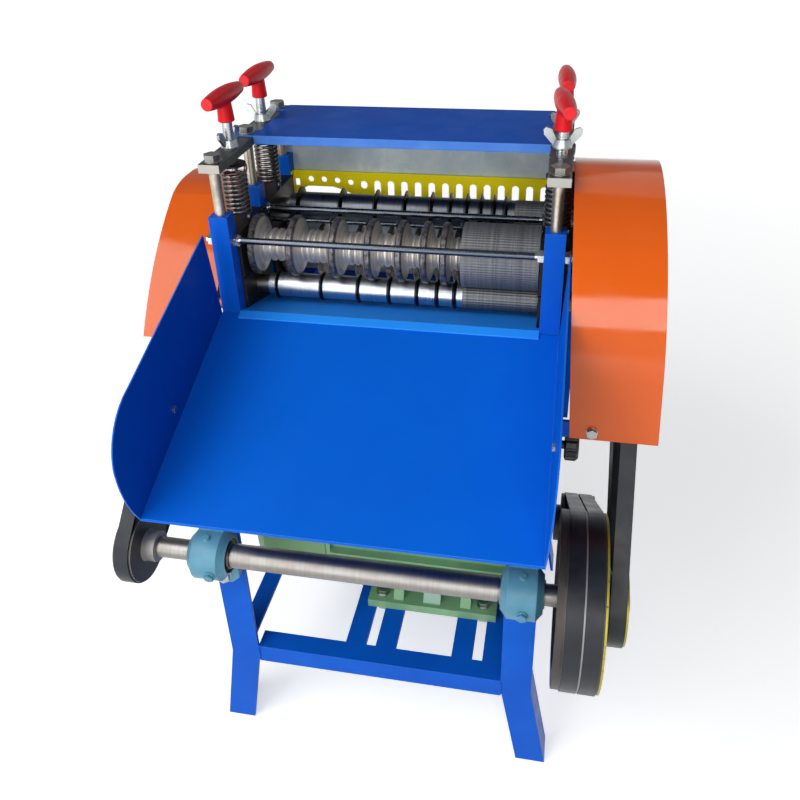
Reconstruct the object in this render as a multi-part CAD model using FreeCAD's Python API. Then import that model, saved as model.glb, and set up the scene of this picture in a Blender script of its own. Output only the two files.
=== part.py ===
import FreeCAD, Part
import math
import os

# Electric wire stripping machine: a welded stand, two side frames with pairs of rollers, a spring bridge
# above them, a motor with V-belts below them and a sheet tray in front.
# X runs along the rollers, Y from the tray to the feed side, Z up. All sizes are in millimetres.

V = FreeCAD.Vector

# Side frames: two thick plates, each with three posts and two windows for the bearing blocks
frame_outer_half = 200.0
frame_thickness = 22.4
post_depth = 20.8
front_bolt_pitch = 103.6
rear_bolt_pitch = 118.0
post_top_z = 699.0
window_floor_z = 552.0

# Rollers: a front pair that slits from below and a rear pair that slits from above
lower_axis_z = 588.0
front_low_drum_radius = 15.5
front_up_drum_radius = 38.0
rear_low_drum_radius = 39.5
rear_up_drum_radius = 20.0
drum_gap = 0.5
shaft_radius = 11.0
running_clearance = 0.05
bolt_play = 0.5
soft_gap = 0.4
first_blade_inset = 30.1
channel_pitches = (57.0, 46.5, 38.5, 34.4, 24.3, 21.1, 18.0, 16.4, 14.8)
front_channels = 6
front_blade_thickness = 3.0
front_blade_bevel = 2.2
rear_blade_thickness = 6.4
blade_edge_width = 0.7
front_blade_radius = 17.8
rear_blade_radius = 26.5
sleeve_radius = 15.0
rear_sleeve_radius = 19.5
wheel_rim_width = 7.0
wheel_rim_chamfer = 1.2
wheel_flare_limit = 7.5
wheel_flare_share = 0.2
first_wheel_gap = 19.4
wheel_radius = 36.8
rear_wheel_radius = 38.5
wheel_hub_radius = 20.0
hub_groove_depth = 3.0
hub_groove_pitch = 8.0
roller_end_gap = 5.0
collar_width = 9.0
collar_step = 1.5
front_drum_gap = 10.0
rear_drum_gap = 12.0
flute_pitch = 3.2
flute_depth = 0.35
shaft_overhang = 8.0

# Bearing blocks that sit in the windows
block_side_clearance = 0.3
block_lip = 2.5
block_lip_thickness = 3.6
lower_block_height = 62.0
carriage_below_axis = 26.0
carriage_top_z = 673.0

# Bridge above the posts
bar_bottom_z = 752.0
bar_height = 9.7
bar_width = 24.5
bar_overhang = 3.0
column_radius = 6.25
column_bore_radius = 5.0
bridge_bolt_radius = 4.8
bridge_bolt_depth = 22.0
bolt_head_flats = 17.0
bolt_head_height = 7.0
washer_radius = 10.0
washer_thickness = 1.6

# Pressure screws with red tee grips, wing nuts, spring seats and springs
screw_radius = 6.0
grip_hub_bottom_z = 792.0
grip_axis_z = 820.5
grip_length = 84.0
grip_middle_radius = 10.4
grip_end_radius = 7.0
grip_hub_radius = 9.6
grip_hub_taper = 1.6
grip_end_bevel = 1.2
grip_end_round = 1.4
grip_screw_depth = 6.0
wing_hub_radius = 10.5
wing_hub_height = 9.5
wing_hub_taper = 1.9
wing_thickness = 3.4
wing_outline = ((6.0, 2.0), (10.0, 2.5), (20.0, 14.0), (20.5, 19.0), (17.5, 21.5), (12.5, 20.0), (6.5, 8.0))
wing_nut_lift = {"fl": 0.0, "rl": 0.0, "fr": 12.0, "rr": 0.0}
wing_nut_turn = {"fl": 78.0, "rl": 4.0, "fr": 2.0, "rr": 35.0}
grip_turn = {"fl": -3.0, "rl": -2.0, "fr": 8.0, "rr": 3.0}
seat_top_gap = 7.6
seat_thickness = 4.0
seat_radius = 15.5
seat_bevel = 3.5
screw_below_seat = 7.0
spring_mean_radius = 13.3
spring_wire_radius = 2.2
spring_turns = 9
spring_end_bend = 4.4

# Stand of angle iron with splayed feet
front_leg_y = -135.4
leg_inset = 2.8
leg_flange = 38.0
leg_slot_below = 14.0
rear_leg_width = 45.0
angle_wall = 4.0
splay_start_z = 136.7
splay_reach = 24.0
low_rail_top_z = 152.0
low_rail_height = 28.0
low_rail_depth = 26.0
side_rail_depth = 24.0
top_rail_depth = 34.0

# Tray and apron in front of the rollers
sheet = 1.5
tray_back_y = -1.5
tray_back_z = 577.4
tray_front_y = -252.7
tray_slope = 0.395
tray_wall_back_y = -18.5
tray_wall_back_z = 685.6
tray_nose_y = -274.0
tray_curve = ((52.0, 70.2), (10.0, 100.1), (0.0, 132.6), (6.0, 173.6))
tray_right_lean = 2.6
tray_hem = 9.0
tray_screw_radius = 3.0
apron_drop = 25.0
apron_depth = 98.0
apron_lap = 7.0
apron_ear_depth = 14.0
apron_front_y = 2.0
apron_flange_inset = 4.0
apron_flange_front = 13.0
apron_flange_back = 11.0
apron_flange_thickness = 2.0
sheet_gap = 0.3

# Belts and pulleys; every groove is cut to the belt section
belt_top_width = 17.0
belt_depth = 11.0
belt_taper = 0.2955
groove_clearance = 0.4
groove_floor_gap = 1.5
belt_proud = 1.4
groove_pitch = 19.0
jackshaft_height_on_leg = 30.2
jackshaft_z = 347.3
double_pulley_radius = 93.0
double_pulley_reach = 42.5
double_pulley_width = 44.0
double_pulley_lip = 5.0
small_pulley_radius = 43.0
small_pulley_width = 21.6
large_pulley_radius = 91.0
right_belt_reach = 35.7
left_belt_reach = 72.0
pulley_overhang = 4.0
jackshaft_radius = 14.0
journal_radius = 12.0
pulley_rim_wall = 18.0
large_pulley_web = 9.0
large_hub_radius = 24.0
large_hub_reach = 10.0
left_collar_radius = 18.0
left_collar_length = 15.0
right_small_hub_radius = 20.0
double_hub_radius = 30.0
double_hub_left = 3.0
double_hub_right = 2.0
double_pulley_web = 14.0

# Pillow blocks on the front legs
pillow_inset = 17.2
pillow_base_length = 130.0
pillow_base_width = 38.0
pillow_base_thickness = 13.0
pillow_boss_radius = 30.0
pillow_boss_width = 46.0
pillow_body_width = 31.0
pillow_ring_radius = 22.0
pillow_nipple_radius = 3.6
pillow_nipple_tilt = 14.0
pillow_bolt_pitch = 102.0
pillow_bolt_radius = 5.0
pillow_corner_cut = 10.0
pillow_foot_spread = 5.0
pillow_seal_radius = 15.5
pillow_seal_reach = 1.5
bearing_outer_radius = 20.0

# Motor, foot mounted, shaft height 100
motor_x = 56.5
motor_y = 51.5
motor_shaft_height = 100.0
motor_core_radius = 86.0
motor_fin_radius = 97.0
motor_fin_count = 30
motor_fin_width = 3.0
foot_bolt_x = 140.0
foot_bolt_y = 160.0
foot_length = 176.0
foot_width = 42.0
foot_thickness = 12.0
foot_edge = 18.0
foot_rib_pitch = 46.0
foot_rib_half = 7.0
foot_middle_rib = 1.7
foot_saddle = ((0.41, 0.62), (0.74, 0.45))
foot_bolt_radius = 5.0
terminal_pad_half = 46.0
terminal_box_seat = 100.0
terminal_box_half = 50.0
terminal_box_height = 38.0
terminal_lid_lap = 3.0
terminal_lid_height = 8.0
terminal_corner = 5.0
gland_flats = 24.0
gland_length = 10.0
gland_entry_radius = 9.0
gland_bore_radius = 5.5
gland_height = 18.0
gland_shift = 10.0
fan_gap = 6.0
fan_radius = 78.0
fan_width = 22.0
fan_hub_radius = 24.0
motor_shaft_radius = 14.0
motor_pulley_radius = 40.0
motor_rail_width = 27.0
motor_rail_gap = 13.0
motor_rail_thickness = 6.0
motor_body_left = 136.0
motor_body_right = 101.5
end_shield_length = 30.0
end_shield_steps = ((10.0, 0.0), (16.0, 14.0))
end_shield_neck = 8.0
end_shield_neck_radius = 46.0
end_shield_hub_radius = 32.0
shield_ear_length = 6.0
shield_step = 2.0
fan_cover_length = 100.0
fan_cover_wall = 1.6
fan_cover_round = 14.0
fan_cover_slots = 12
fan_cover_slot = (26.0, 76.0, 3.0)
fan_vanes = 6
fan_plate = 4.0
fan_vane_thickness = 3.0

# Orange belt covers
right_cover_gap = 13.1
left_cover_gap = 9.0
right_cover_clearance = 10.2
left_cover_clearance = 10.7
right_cover_lean = 3.2
right_cover_radius = 167.0
right_cover_bottom_z = 515.5
cover_screw_x = 239.6
cover_screw_z = 525.4
cover_screw_radius = 3.0
left_cover_front_y = -24.0
left_cover_bottom_z = 549.0
left_cover_flank_bulge = 11.0
left_cover_shoulder_y = 61.0
left_cover_shoulder_drop = 8.7
left_cover_flat = 18.0
left_spacer_rise = 36.0
left_spacer_drop = 33.0
spacer_lip = 8.0
cover_stay_half = 15.0
left_cover_headroom = 12.2
left_spacer_radius = 5.0

# Lugs of the right side frame that carry the right belt cover, and the screen behind its gap
lug_z0 = 526.0
lug_height = 20.0
lug_front_rise = 9.0
lug_thickness = 4.0
lug_reach = 50.0
screen_top_z = 690.0
screen_reach = 24.0
screen_thickness = 3.0

# Top cover, feed comb and rear panel
top_cover_flange = 9.0
top_cover_gap = 2.3
comb_inset = 7.4
comb_sheet = 2.0
comb_top_z = 676.0
comb_bottom_z = 634.0
comb_hole_pitch = 18.85
comb_first_inset = 25.6
comb_hole_radius = 4.0
comb_hole_z = 664.0
comb_hole_drops = (0.0, 0.0, 1.0, 3.0)
comb_oval_z = 658.2
comb_slot_half = 4.6
comb_slot_top_z = 660.4
comb_edge = 3.0
comb_arch_top_z = 654.0
comb_arch_lead = 13.0
comb_arch_shoulder = ((0.0, 10.0), (3.5, 3.0), (12.0, 0.0))
comb_arch_fall = (3.5, 9.0, 14.0)
comb_end_depth = 9.0
comb_end_height = 34.0
panel_thickness = 1.2
panel_screw_z = 690.0
panel_screw_radius = 3.0
panel_screw_depth = 5.0
panel_lap = 5.0
panel_inset = 3.0
panel_fold = 9.0
low_panel_top_z = 600.0
low_panel_screw_z = 540.0
tie_rod_radius = 4.0
tie_rod_z = 668.0
nut_flats = 13.0
nut_height = 6.5

# Other fasteners: a head is (flats, height) or (flats, height, washer)
large_hex = (16.0, 6.5)
large_nut = (17.0, 8.0)
small_hex = (10.0, 4.0, 1.0)
tray_hex = (8.0, 2.6)
bolt_reach = 12.0
screw_reach = 4.0

# Thin rod with guide fingers behind the front wheels
guide_rod_radius = 3.0
guide_rod_z = 652.0
guide_rod_seat = 5.0
guide_rod_behind = 2.5
finger_thickness = 1.6
finger_depth = 12.0
finger_bottom_z = 604.0
finger_above_rod = 4.0

# Ribbed clamp knob under the right cover, and the tray's two screws as (side, y, z)
knob_gap = 13.5
knob_y = -88.0
knob_z = 493.3
knob_radius = 16.5
knob_length = 15.0
knob_ribs = 10
knob_rib_depth = 1.6
knob_rib_turns = ((0.0, -0.17), (0.0, 0.17), (1.0, 0.25), (1.0, 0.38))
knob_corner = 3.0
knob_neck_radius = 4.6
knob_stud_radius = 4.0
knob_stud_proud = 6.0
tray_screw_places = ((-1, -151.6, 541.2), (1, -182.9, 562.7))

# Places that follow from the sizes above
frame_inner_half = frame_outer_half - frame_thickness
leg_outer_half = frame_outer_half - leg_inset
pillow_half = leg_outer_half - pillow_inset
double_pulley_x = frame_outer_half + double_pulley_reach
right_belt_x = double_pulley_x + right_belt_reach
left_belt_x = -(frame_outer_half + left_belt_reach)
right_cover_inner = frame_outer_half + right_cover_gap
right_cover_outer = right_belt_x + small_pulley_width / 2 + pulley_overhang + right_cover_clearance
left_cover_inner = frame_outer_half + left_cover_gap
left_cover_outer = -left_belt_x + small_pulley_width / 2 + pulley_overhang + left_cover_clearance
first_blade_x = -frame_inner_half + first_blade_inset
front_bolt_y = post_depth / 2
middle_bolt_y = front_bolt_y + front_bolt_pitch
post_y = (front_bolt_y, middle_bolt_y, middle_bolt_y + rear_bolt_pitch)
front_row_y = (post_y[0] + post_y[1]) / 2
rear_row_y = (post_y[1] + post_y[2]) / 2
frame_back_y = post_y[2] + post_depth / 2
front_up_axis_z = lower_axis_z + front_low_drum_radius + front_up_drum_radius + drum_gap
rear_up_axis_z = lower_axis_z + rear_low_drum_radius + rear_up_drum_radius + drum_gap
bar_top_z = bar_bottom_z + bar_height
bar_middle_half = frame_outer_half - frame_thickness / 2
top_cover_half = bar_middle_half - wing_hub_radius - top_cover_gap
seat_bottom_z = bar_bottom_z - seat_top_gap - seat_thickness
stand_top_z = tray_back_z + (front_leg_y - tray_back_y) * tray_slope - sheet * 1.1 - sheet_gap
jackshaft_y = front_leg_y - jackshaft_height_on_leg
motor_z = low_rail_top_z + motor_shaft_height
motor_body_x0 = motor_x - motor_body_left
motor_body_x1 = motor_x + motor_body_right
motor_rim_radius = motor_fin_radius - shield_step
comb_y = frame_back_y - comb_inset
comb_first_x = -frame_inner_half + comb_first_inset
guide_rod_y = post_y[1] + guide_rod_behind
knob_x = frame_outer_half + knob_gap
left_cover_top_z = lower_axis_z + large_pulley_radius + left_cover_headroom
left_cover_back_radius = left_cover_top_z - lower_axis_z
right_cover_sine = math.sin(math.radians(right_cover_lean))
right_cover_reach = right_cover_outer + (lower_axis_z - right_cover_bottom_z) * right_cover_sine
origin_x = (right_cover_reach - left_cover_outer) / 2
origin_y = (tray_nose_y + rear_row_y + left_cover_back_radius) / 2
roller_half = frame_inner_half - roller_end_gap
screw_places = {
    "fl": (-1, front_row_y),
    "rl": (-1, rear_row_y),
    "fr": (1, front_row_y),
    "rr": (1, rear_row_y),
}


# Small shape helpers

def box(x0, x1, y0, y1, z0, z1):
    return Part.makeBox(abs(x1 - x0), abs(y1 - y0), abs(z1 - z0), V(min(x0, x1), min(y0, y1), min(z0, z1)))


def cyl_x(x0, x1, y, z, r):
    return Part.makeCylinder(r, abs(x1 - x0), V(min(x0, x1), y, z), V(1, 0, 0))


def cyl_y(y0, y1, x, z, r):
    return Part.makeCylinder(r, abs(y1 - y0), V(x, min(y0, y1), z), V(0, 1, 0))


def cyl_z(z0, z1, x, y, r):
    return Part.makeCylinder(r, abs(z1 - z0), V(x, y, min(z0, z1)), V(0, 0, 1))


def face_of(points):
    return Part.Face(Part.makePolygon(points + [points[0]]))


def prism_x(yz_points, x0, x1):
    face = face_of([V(x0, y, z) for y, z in yz_points])
    return face.extrude(V(x1 - x0, 0, 0))


def turned_x(x_radius_points, y, z):
    """A body of revolution about an axis along X through (y, z), from (x, radius) corners."""
    face = face_of([V(x, y, z + r) for x, r in x_radius_points])
    return face.revolve(V(0, y, z), V(1, 0, 0), 360)


def turned_z(radius_z_points, x, y):
    face = face_of([V(x + r, y, z) for r, z in radius_z_points])
    return face.revolve(V(x, y, 0), V(0, 0, 1), 360)


def hexagon(centre, axis, flats, height):
    """A hexagonal prism that starts at centre and runs along axis."""
    corner = flats / math.sqrt(3)
    side = V(0, 0, 1) if abs(axis.z) < 0.5 else V(1, 0, 0)
    other = axis.cross(side)
    ring = []
    for i in range(6):
        turn = math.radians(60 * i)
        ring.append(centre + side * (corner * math.cos(turn)) + other * (corner * math.sin(turn)))
    return face_of(ring).extrude(axis * height)


def fused(shapes):
    whole = shapes[0].multiFuse(shapes[1:]) if len(shapes) > 1 else shapes[0]
    return whole.removeSplitter()


def save(name, *solids):
    """Write one node: its solids stand side by side in one file, in the part's own frame."""
    shape = Part.Compound(list(solids)) if len(solids) > 1 else solids[0]
    shape = shape.copy()
    shape.translate(V(-origin_x, -origin_y, 0))
    shape.exportStep("parts/%s.step" % name)


# Fasteners that several nodes share

def hex_bolt(centre, axis, radius, length, flats, head, washer=0.0):
    """Shank below centre, washer and head above it; axis points from the shank to the head."""
    shank = Part.makeCylinder(radius, length, centre - axis * length, axis)
    shapes = [shank, hexagon(centre + axis * washer, axis, flats, head)]
    if washer > 0:
        shapes.append(Part.makeCylinder(flats * 0.6, washer, centre, axis))
    return fused(shapes)


def nut(centre, axis, bore, flats, height):
    body = hexagon(centre, axis, flats, height)
    return body.cut(Part.makeCylinder(bore, height, centre, axis))


# Stand

def angle_leg(side, y_out, y_in, width):
    """Angle iron leg: a flange across, a flange along, and a foot that splays outwards."""
    x_out = side * leg_outer_half
    x_in = side * (leg_outer_half - width)
    wall_x = side * (leg_outer_half - angle_wall)
    wall_y = y_out + (angle_wall if y_in > y_out else -angle_wall)
    outline = [(x_in, y_out), (x_out, y_out), (x_out, y_in), (wall_x, y_in), (wall_x, wall_y), (x_in, wall_y)]
    face = face_of([V(x, y, splay_start_z) for x, y in outline])
    upper = face.extrude(V(0, 0, stand_top_z - splay_start_z))
    lower = face.extrude(V(side * splay_reach, 0, -splay_start_z))
    return fused([upper, lower])


def legs():
    solids = []
    hole = pillow_bolt_radius + bolt_play
    y0 = front_leg_y - 1
    y1 = front_leg_y + angle_wall + 1
    for side in (-1, 1):
        x = side * pillow_half
        front = angle_leg(side, front_leg_y, front_leg_y + leg_flange, leg_flange)
        slot_z = jackshaft_z - pillow_bolt_pitch / 2
        slot = box(x - hole, x + hole, y0, y1, slot_z - leg_slot_below, slot_z + hole)
        top_hole = cyl_y(y0, y1, x, jackshaft_z + pillow_bolt_pitch / 2, hole)
        solids.append(front.cut(slot).cut(top_hole))
        solids.append(angle_leg(side, frame_back_y, frame_back_y - leg_flange, rear_leg_width))
    return solids


def cross_rail(y_out, inward, top_z, height, depth, leg_width):
    """Angle rail along X between two legs; inward is +1 where its top flange runs towards +Y."""
    half = leg_outer_half - leg_width
    y_wall = y_out + inward * angle_wall
    y_in = y_out + inward * depth
    profile = [(y_out, top_z), (y_in, top_z), (y_in, top_z - angle_wall), (y_wall, top_z - angle_wall),
               (y_wall, top_z - height), (y_out, top_z - height)]
    return prism_x(profile, -half, half)


def side_rail(side, top_z, height, depth):
    x_out = side * (leg_outer_half - angle_wall)
    x_wall = x_out - side * angle_wall
    x_in = x_out - side * depth
    profile = [(x_out, top_z), (x_in, top_z), (x_in, top_z - angle_wall), (x_wall, top_z - angle_wall),
               (x_wall, top_z - height), (x_out, top_z - height)]
    y0 = front_leg_y + angle_wall
    y1 = frame_back_y - angle_wall
    return face_of([V(x, y0, z) for x, z in profile]).extrude(V(0, y1 - y0, 0))


def stand_frame():
    low = (low_rail_top_z, low_rail_height, low_rail_depth, side_rail_depth)
    top = (stand_top_z, leg_flange, top_rail_depth, top_rail_depth)
    solids = []
    for rail_z, height, cross_depth, side_depth in (low, top):
        solids.append(cross_rail(front_leg_y, 1, rail_z, height, cross_depth, leg_flange))
        solids.append(cross_rail(frame_back_y, -1, rail_z, height, cross_depth, rear_leg_width))
        for side in (-1, 1):
            solids.append(side_rail(side, rail_z, height, side_depth))
    return solids + motor_rails()


def motor_rails():
    """Two pairs of flat bars; the foot bolts stand in the slot between the bars of a pair."""
    y0 = front_leg_y + low_rail_depth
    y1 = frame_back_y - low_rail_depth
    solids = []
    for bolt_side in (-1, 1):
        middle = motor_x + bolt_side * foot_bolt_x / 2
        for bar_side in (-1, 1):
            near = middle + bar_side * motor_rail_gap / 2
            solids.append(box(near, near + bar_side * motor_rail_width, y0, y1,
                              low_rail_top_z - motor_rail_thickness, low_rail_top_z))
    return solids


# Side frames and the bridge above them

def side_frame(side):
    outline = [(0, stand_top_z), (0, post_top_z), (post_depth, post_top_z), (post_depth, window_floor_z)]
    outline += [(post_y[1] - post_depth / 2, window_floor_z), (post_y[1] - post_depth / 2, post_top_z)]
    outline += [(post_y[1] + post_depth / 2, post_top_z), (post_y[1] + post_depth / 2, window_floor_z)]
    outline += [(post_y[2] - post_depth / 2, window_floor_z), (post_y[2] - post_depth / 2, post_top_z)]
    outline += [(frame_back_y, post_top_z), (frame_back_y, stand_top_z)]
    plate = prism_x(outline, side * frame_inner_half, side * frame_outer_half)
    cuts = []
    for y in post_y:
        cuts.append(cyl_z(post_top_z - bridge_bolt_depth - 1, post_top_z + 1, side * bar_middle_half, y,
                          bridge_bolt_radius + running_clearance))
    for y in post_y[:2]:
        cuts.append(cyl_x(side * (frame_inner_half - 1), side * (frame_outer_half + 1), y, tie_rod_z,
                          tie_rod_radius + running_clearance))
    for z in (panel_screw_z, low_panel_screw_z):
        cuts.append(cyl_y(frame_back_y - panel_screw_depth - 0.1, frame_back_y + 1, side * bar_middle_half, z,
                          panel_screw_radius + running_clearance))
    guide_end = side * (frame_inner_half + guide_rod_seat + 0.5)
    cuts.append(cyl_x(side * (frame_inner_half - 1), guide_end, guide_rod_y, guide_rod_z,
                      guide_rod_radius + running_clearance))
    plate = plate.cut(Part.Compound(cuts))
    if side > 0:
        return fused([plate] + right_cover_lugs())
    return plate


def right_cover_lugs():
    """Bent lugs that carry the right belt cover at its front and back, and a screen behind its gap."""
    front_y = front_row_y - right_cover_radius + sheet
    back_y = front_row_y + right_cover_radius - sheet
    x0 = frame_outer_half
    arm = x0 + lug_thickness
    reach = x0 + lug_reach
    front_z1 = lug_z0 + lug_front_rise
    front_z0 = front_z1 - lug_height
    hole = cyl_y(front_y - 1, front_y + lug_thickness + 1, cover_screw_x, cover_screw_z,
                 cover_screw_radius + running_clearance)
    front_arm = box(x0, arm, front_y, post_y[0] + lug_height, front_z0, front_z1)
    front_flange = box(x0, reach, front_y, front_y + lug_thickness, front_z0, front_z1).cut(hole)
    back_arm = box(x0, arm, post_y[2] - lug_height, back_y, lug_z0, lug_z0 + lug_height)
    back_flange = box(x0, reach, back_y - lug_thickness, back_y, lug_z0, lug_z0 + lug_height)
    screen_y = front_row_y + right_cover_radius + soft_gap
    screen = box(x0, x0 + screen_reach, screen_y, screen_y + screen_thickness, lug_z0, screen_top_z)
    return [front_arm, front_flange, back_arm, back_flange, screen]


def bridge_bars():
    solids = []
    for side in (-1, 1):
        bar = box(side * (bar_middle_half - bar_width / 2), side * (bar_middle_half + bar_width / 2),
                  -bar_overhang, frame_back_y + bar_overhang, bar_bottom_z, bar_top_z)
        x = side * bar_middle_half
        for y in post_y:
            bar = bar.cut(cyl_z(bar_bottom_z - 1, bar_top_z + 1, x, y, column_bore_radius))
        for y in (front_row_y, rear_row_y):
            bar = bar.cut(cyl_z(bar_bottom_z - 1, bar_top_z + 1, x, y, screw_radius + running_clearance))
        solids.append(bar)
    return solids


def bridge_bolts():
    """Six long bolts, each inside a spacer column that carries the bar above the post."""
    solids = []
    for side in (-1, 1):
        for number, y in enumerate(post_y):
            x = side * bar_middle_half
            column = cyl_z(post_top_z, bar_bottom_z, x, y, column_radius)
            solids.append(column.cut(cyl_z(post_top_z - 1, bar_bottom_z + 1, x, y, column_bore_radius)))
            seat_z = bar_top_z if number == 0 else bar_top_z + sheet
            length = seat_z - post_top_z + bridge_bolt_depth
            solids.append(hex_bolt(V(x, y, seat_z), V(0, 0, 1), bridge_bolt_radius, length,
                                   bolt_head_flats, bolt_head_height, washer_thickness))
    return solids


def tie_rods():
    """Two threaded rods with their nuts, and a thin rod with guide fingers behind the front wheels."""
    solids = []
    rod_end = frame_outer_half + nut_height + nut_height / 2
    nut_bore = tie_rod_radius + running_clearance
    for y in post_y[:2]:
        solids.append(cyl_x(-rod_end, rod_end, y, tie_rod_z, tie_rod_radius))
        for side in (-1, 1):
            for x in (frame_inner_half - nut_height, frame_outer_half):
                place = V(side * x, y, tie_rod_z)
                solids.append(nut(place, V(side, 0, 0), nut_bore, nut_flats, nut_height))
    end = frame_inner_half + guide_rod_seat
    guide = cyl_x(-end, end, guide_rod_y, guide_rod_z, guide_rod_radius)
    bore = cyl_x(-end, end, guide_rod_y, guide_rod_z, guide_rod_radius + running_clearance)
    solids.append(guide)
    for x in blade_places(front_channels + 1):
        finger = box(x - finger_thickness / 2, x + finger_thickness / 2, guide_rod_y - finger_depth / 2,
                     guide_rod_y + finger_depth / 2, finger_bottom_z, guide_rod_z + finger_above_rod)
        solids.append(finger.cut(bore))
    return solids


# Rollers

def blade_places(count):
    places = [first_blade_x]
    for pitch in channel_pitches[:count - 1]:
        places.append(places[-1] + pitch)
    return places


def wheel_places(count):
    """Middle of each channel between two blades, and one wheel left of the first blade."""
    blades = blade_places(count)
    middles = [(a + b) / 2 for a, b in zip(blades[:-1], blades[1:])]
    return [blades[0] - first_wheel_gap] + middles


def fluted_drum(x0, x1, y, z, radius):
    """Feed drum with fine flutes along its length; it is hollow for its shaft."""
    ring = []
    flutes = int(2 * math.pi * radius / flute_pitch)
    half = math.pi / flutes
    low = radius - flute_depth
    for i in range(flutes):
        turn = 2 * half * i
        ring.append((y + radius * math.cos(turn), z + radius * math.sin(turn)))
        ring.append((y + low * math.cos(turn + half), z + low * math.sin(turn + half)))
    return prism_x(ring, x0, x1).cut(cyl_x(x0 - 1, x1 + 1, y, z, shaft_radius))


def slitting_blade(x, y, z, radius, thickness, bevel):
    """Round blade, flat on its sides and bevelled to a narrow edge."""
    half = thickness / 2
    edge = blade_edge_width / 2
    return turned_x([(x - half, shaft_radius), (x - half, radius - bevel), (x - edge, radius),
                     (x + edge, radius), (x + half, radius - bevel), (x + half, shaft_radius)], y, z)


def grooved_wheel(x, y, z, radius, left, right):
    """Wheel with a narrow rim and straight conical flanks that spread to its half widths at the hub."""
    rim = wheel_rim_width / 2
    top = rim - wheel_rim_chamfer
    low = wheel_hub_radius
    shoulder = radius - wheel_rim_chamfer
    profile = [(x - left, shaft_radius), (x - left, low), (x - rim, shoulder), (x - top, radius),
               (x + top, radius), (x + rim, shoulder), (x + right, low), (x + right, shaft_radius)]
    return turned_x(profile, y, z)


def grooved_hub(x0, x1, y, z):
    """Hub between two wheels with turned V grooves that lead the wire over the blade."""
    r = wheel_hub_radius
    grooves = max(1, round((x1 - x0) / hub_groove_pitch))
    step = (x1 - x0) / grooves
    half = step * 0.36
    low = r - min(hub_groove_depth, half)
    points = [(x0, shaft_radius), (x0, r)]
    for i in range(grooves):
        middle = x0 + (i + 0.5) * step
        points += [(middle - half, r), (middle, low), (middle + half, r)]
    points += [(x1, r), (x1, shaft_radius)]
    return turned_x(points, y, z)


def wheel_stack(y, z, count, radius, drum_start, drum_radius):
    """Wheels, grooved hubs between them and the drum, all threaded on one shaft."""
    solids = []
    places = wheel_places(count)
    ends = places[1:] + [drum_start + wheel_rim_width / 2]
    flares = [wheel_flare(b - a) for a, b in zip(places, ends)]
    left = places[0] + roller_half
    for number, x in enumerate(places):
        right = flares[number]
        solids.append(grooved_wheel(x, y, z, radius, left, right))
        left = right
        hub_end = ends[number] - (right if number + 1 < len(places) else wheel_rim_width / 2)
        solids.append(grooved_hub(x + right, hub_end, y, z))
    solids.append(fluted_drum(drum_start, roller_half, y, z, drum_radius))
    return solids


def wheel_flare(pitch):
    """Half width of a wheel at its hub, on the side of a channel of the given pitch."""
    return wheel_rim_width / 2 + min(wheel_flare_limit, (pitch - wheel_rim_width) * wheel_flare_share)


def blade_stack(y, z, count, blade, drum_start, drum_radius, spacer_radius):
    """Blades and the spacer sleeves between them; blade is (radius, thickness, bevel)."""
    blades = []
    sleeves = []
    places = blade_places(count)
    half = blade[1] / 2
    for number, x in enumerate(places):
        blades.append(slitting_blade(x, y, z, *blade))
        right = places[number + 1] - half if number + 1 < len(places) else drum_start
        sleeve = cyl_x(x + half, right, y, z, spacer_radius)
        sleeves.append(sleeve.cut(cyl_x(x, right + 1, y, z, shaft_radius)))
    left = places[0] - half
    collar = cyl_x(left - collar_width, left, y, z, spacer_radius - collar_step)
    sleeves.append(collar.cut(cyl_x(left - collar_width - 1, left + 1, y, z, shaft_radius)))
    sleeves.append(fluted_drum(drum_start, roller_half, y, z, drum_radius))
    return blades, sleeves


front_drum_start = blade_places(front_channels + 1)[-1] + front_drum_gap
rear_drum_start = blade_places(len(channel_pitches) + 1)[-1] + rear_drum_gap
shaft_end = frame_outer_half + shaft_overhang


def bearing_block(side, row_y, post_before, post_after, z0, z1, axis_z):
    """Block that fits a window, with lips that run on both faces of the posts and a bronze-lined bore."""
    y0 = post_before + post_depth / 2 + block_side_clearance
    y1 = post_after - post_depth / 2 - block_side_clearance
    body = box(side * frame_inner_half, side * frame_outer_half, y0, y1, z0, z1)
    shapes = [body]
    for x in (frame_inner_half - block_side_clearance, frame_outer_half + block_side_clearance):
        outward = 1 if x > frame_outer_half else -1
        lip = x + outward * block_lip_thickness
        shapes.append(box(side * x, side * lip, y0 - block_lip, y1 + block_lip, z0, z1))
        link = x - outward * block_side_clearance
        shapes.append(box(side * link, side * x, y0, y1, z0, z1))
    block = fused(shapes)
    bore = cyl_x(side * (frame_inner_half - 10), side * (frame_outer_half + 10), row_y, axis_z,
                 shaft_radius + running_clearance)
    return block.cut(bore)


def row_blocks(row_y, before, after, z0, z1, axis_z):
    return [bearing_block(side, row_y, before, after, z0, z1, axis_z) for side in (-1, 1)]


# Springs

def arc_between(start, corner, end):
    """Circular arc tangent to start-corner and corner-end, which are equally long."""
    first = (corner - start).normalize()
    second = (end - corner).normalize()
    half_turn = first.getAngle(second) / 2
    radius = (corner - start).Length / math.tan(half_turn)
    chord_middle = (start + end) * 0.5
    towards = (chord_middle - corner).normalize()
    return Part.Arc(start, corner + towards * (radius / math.cos(half_turn) - radius), end)


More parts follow.
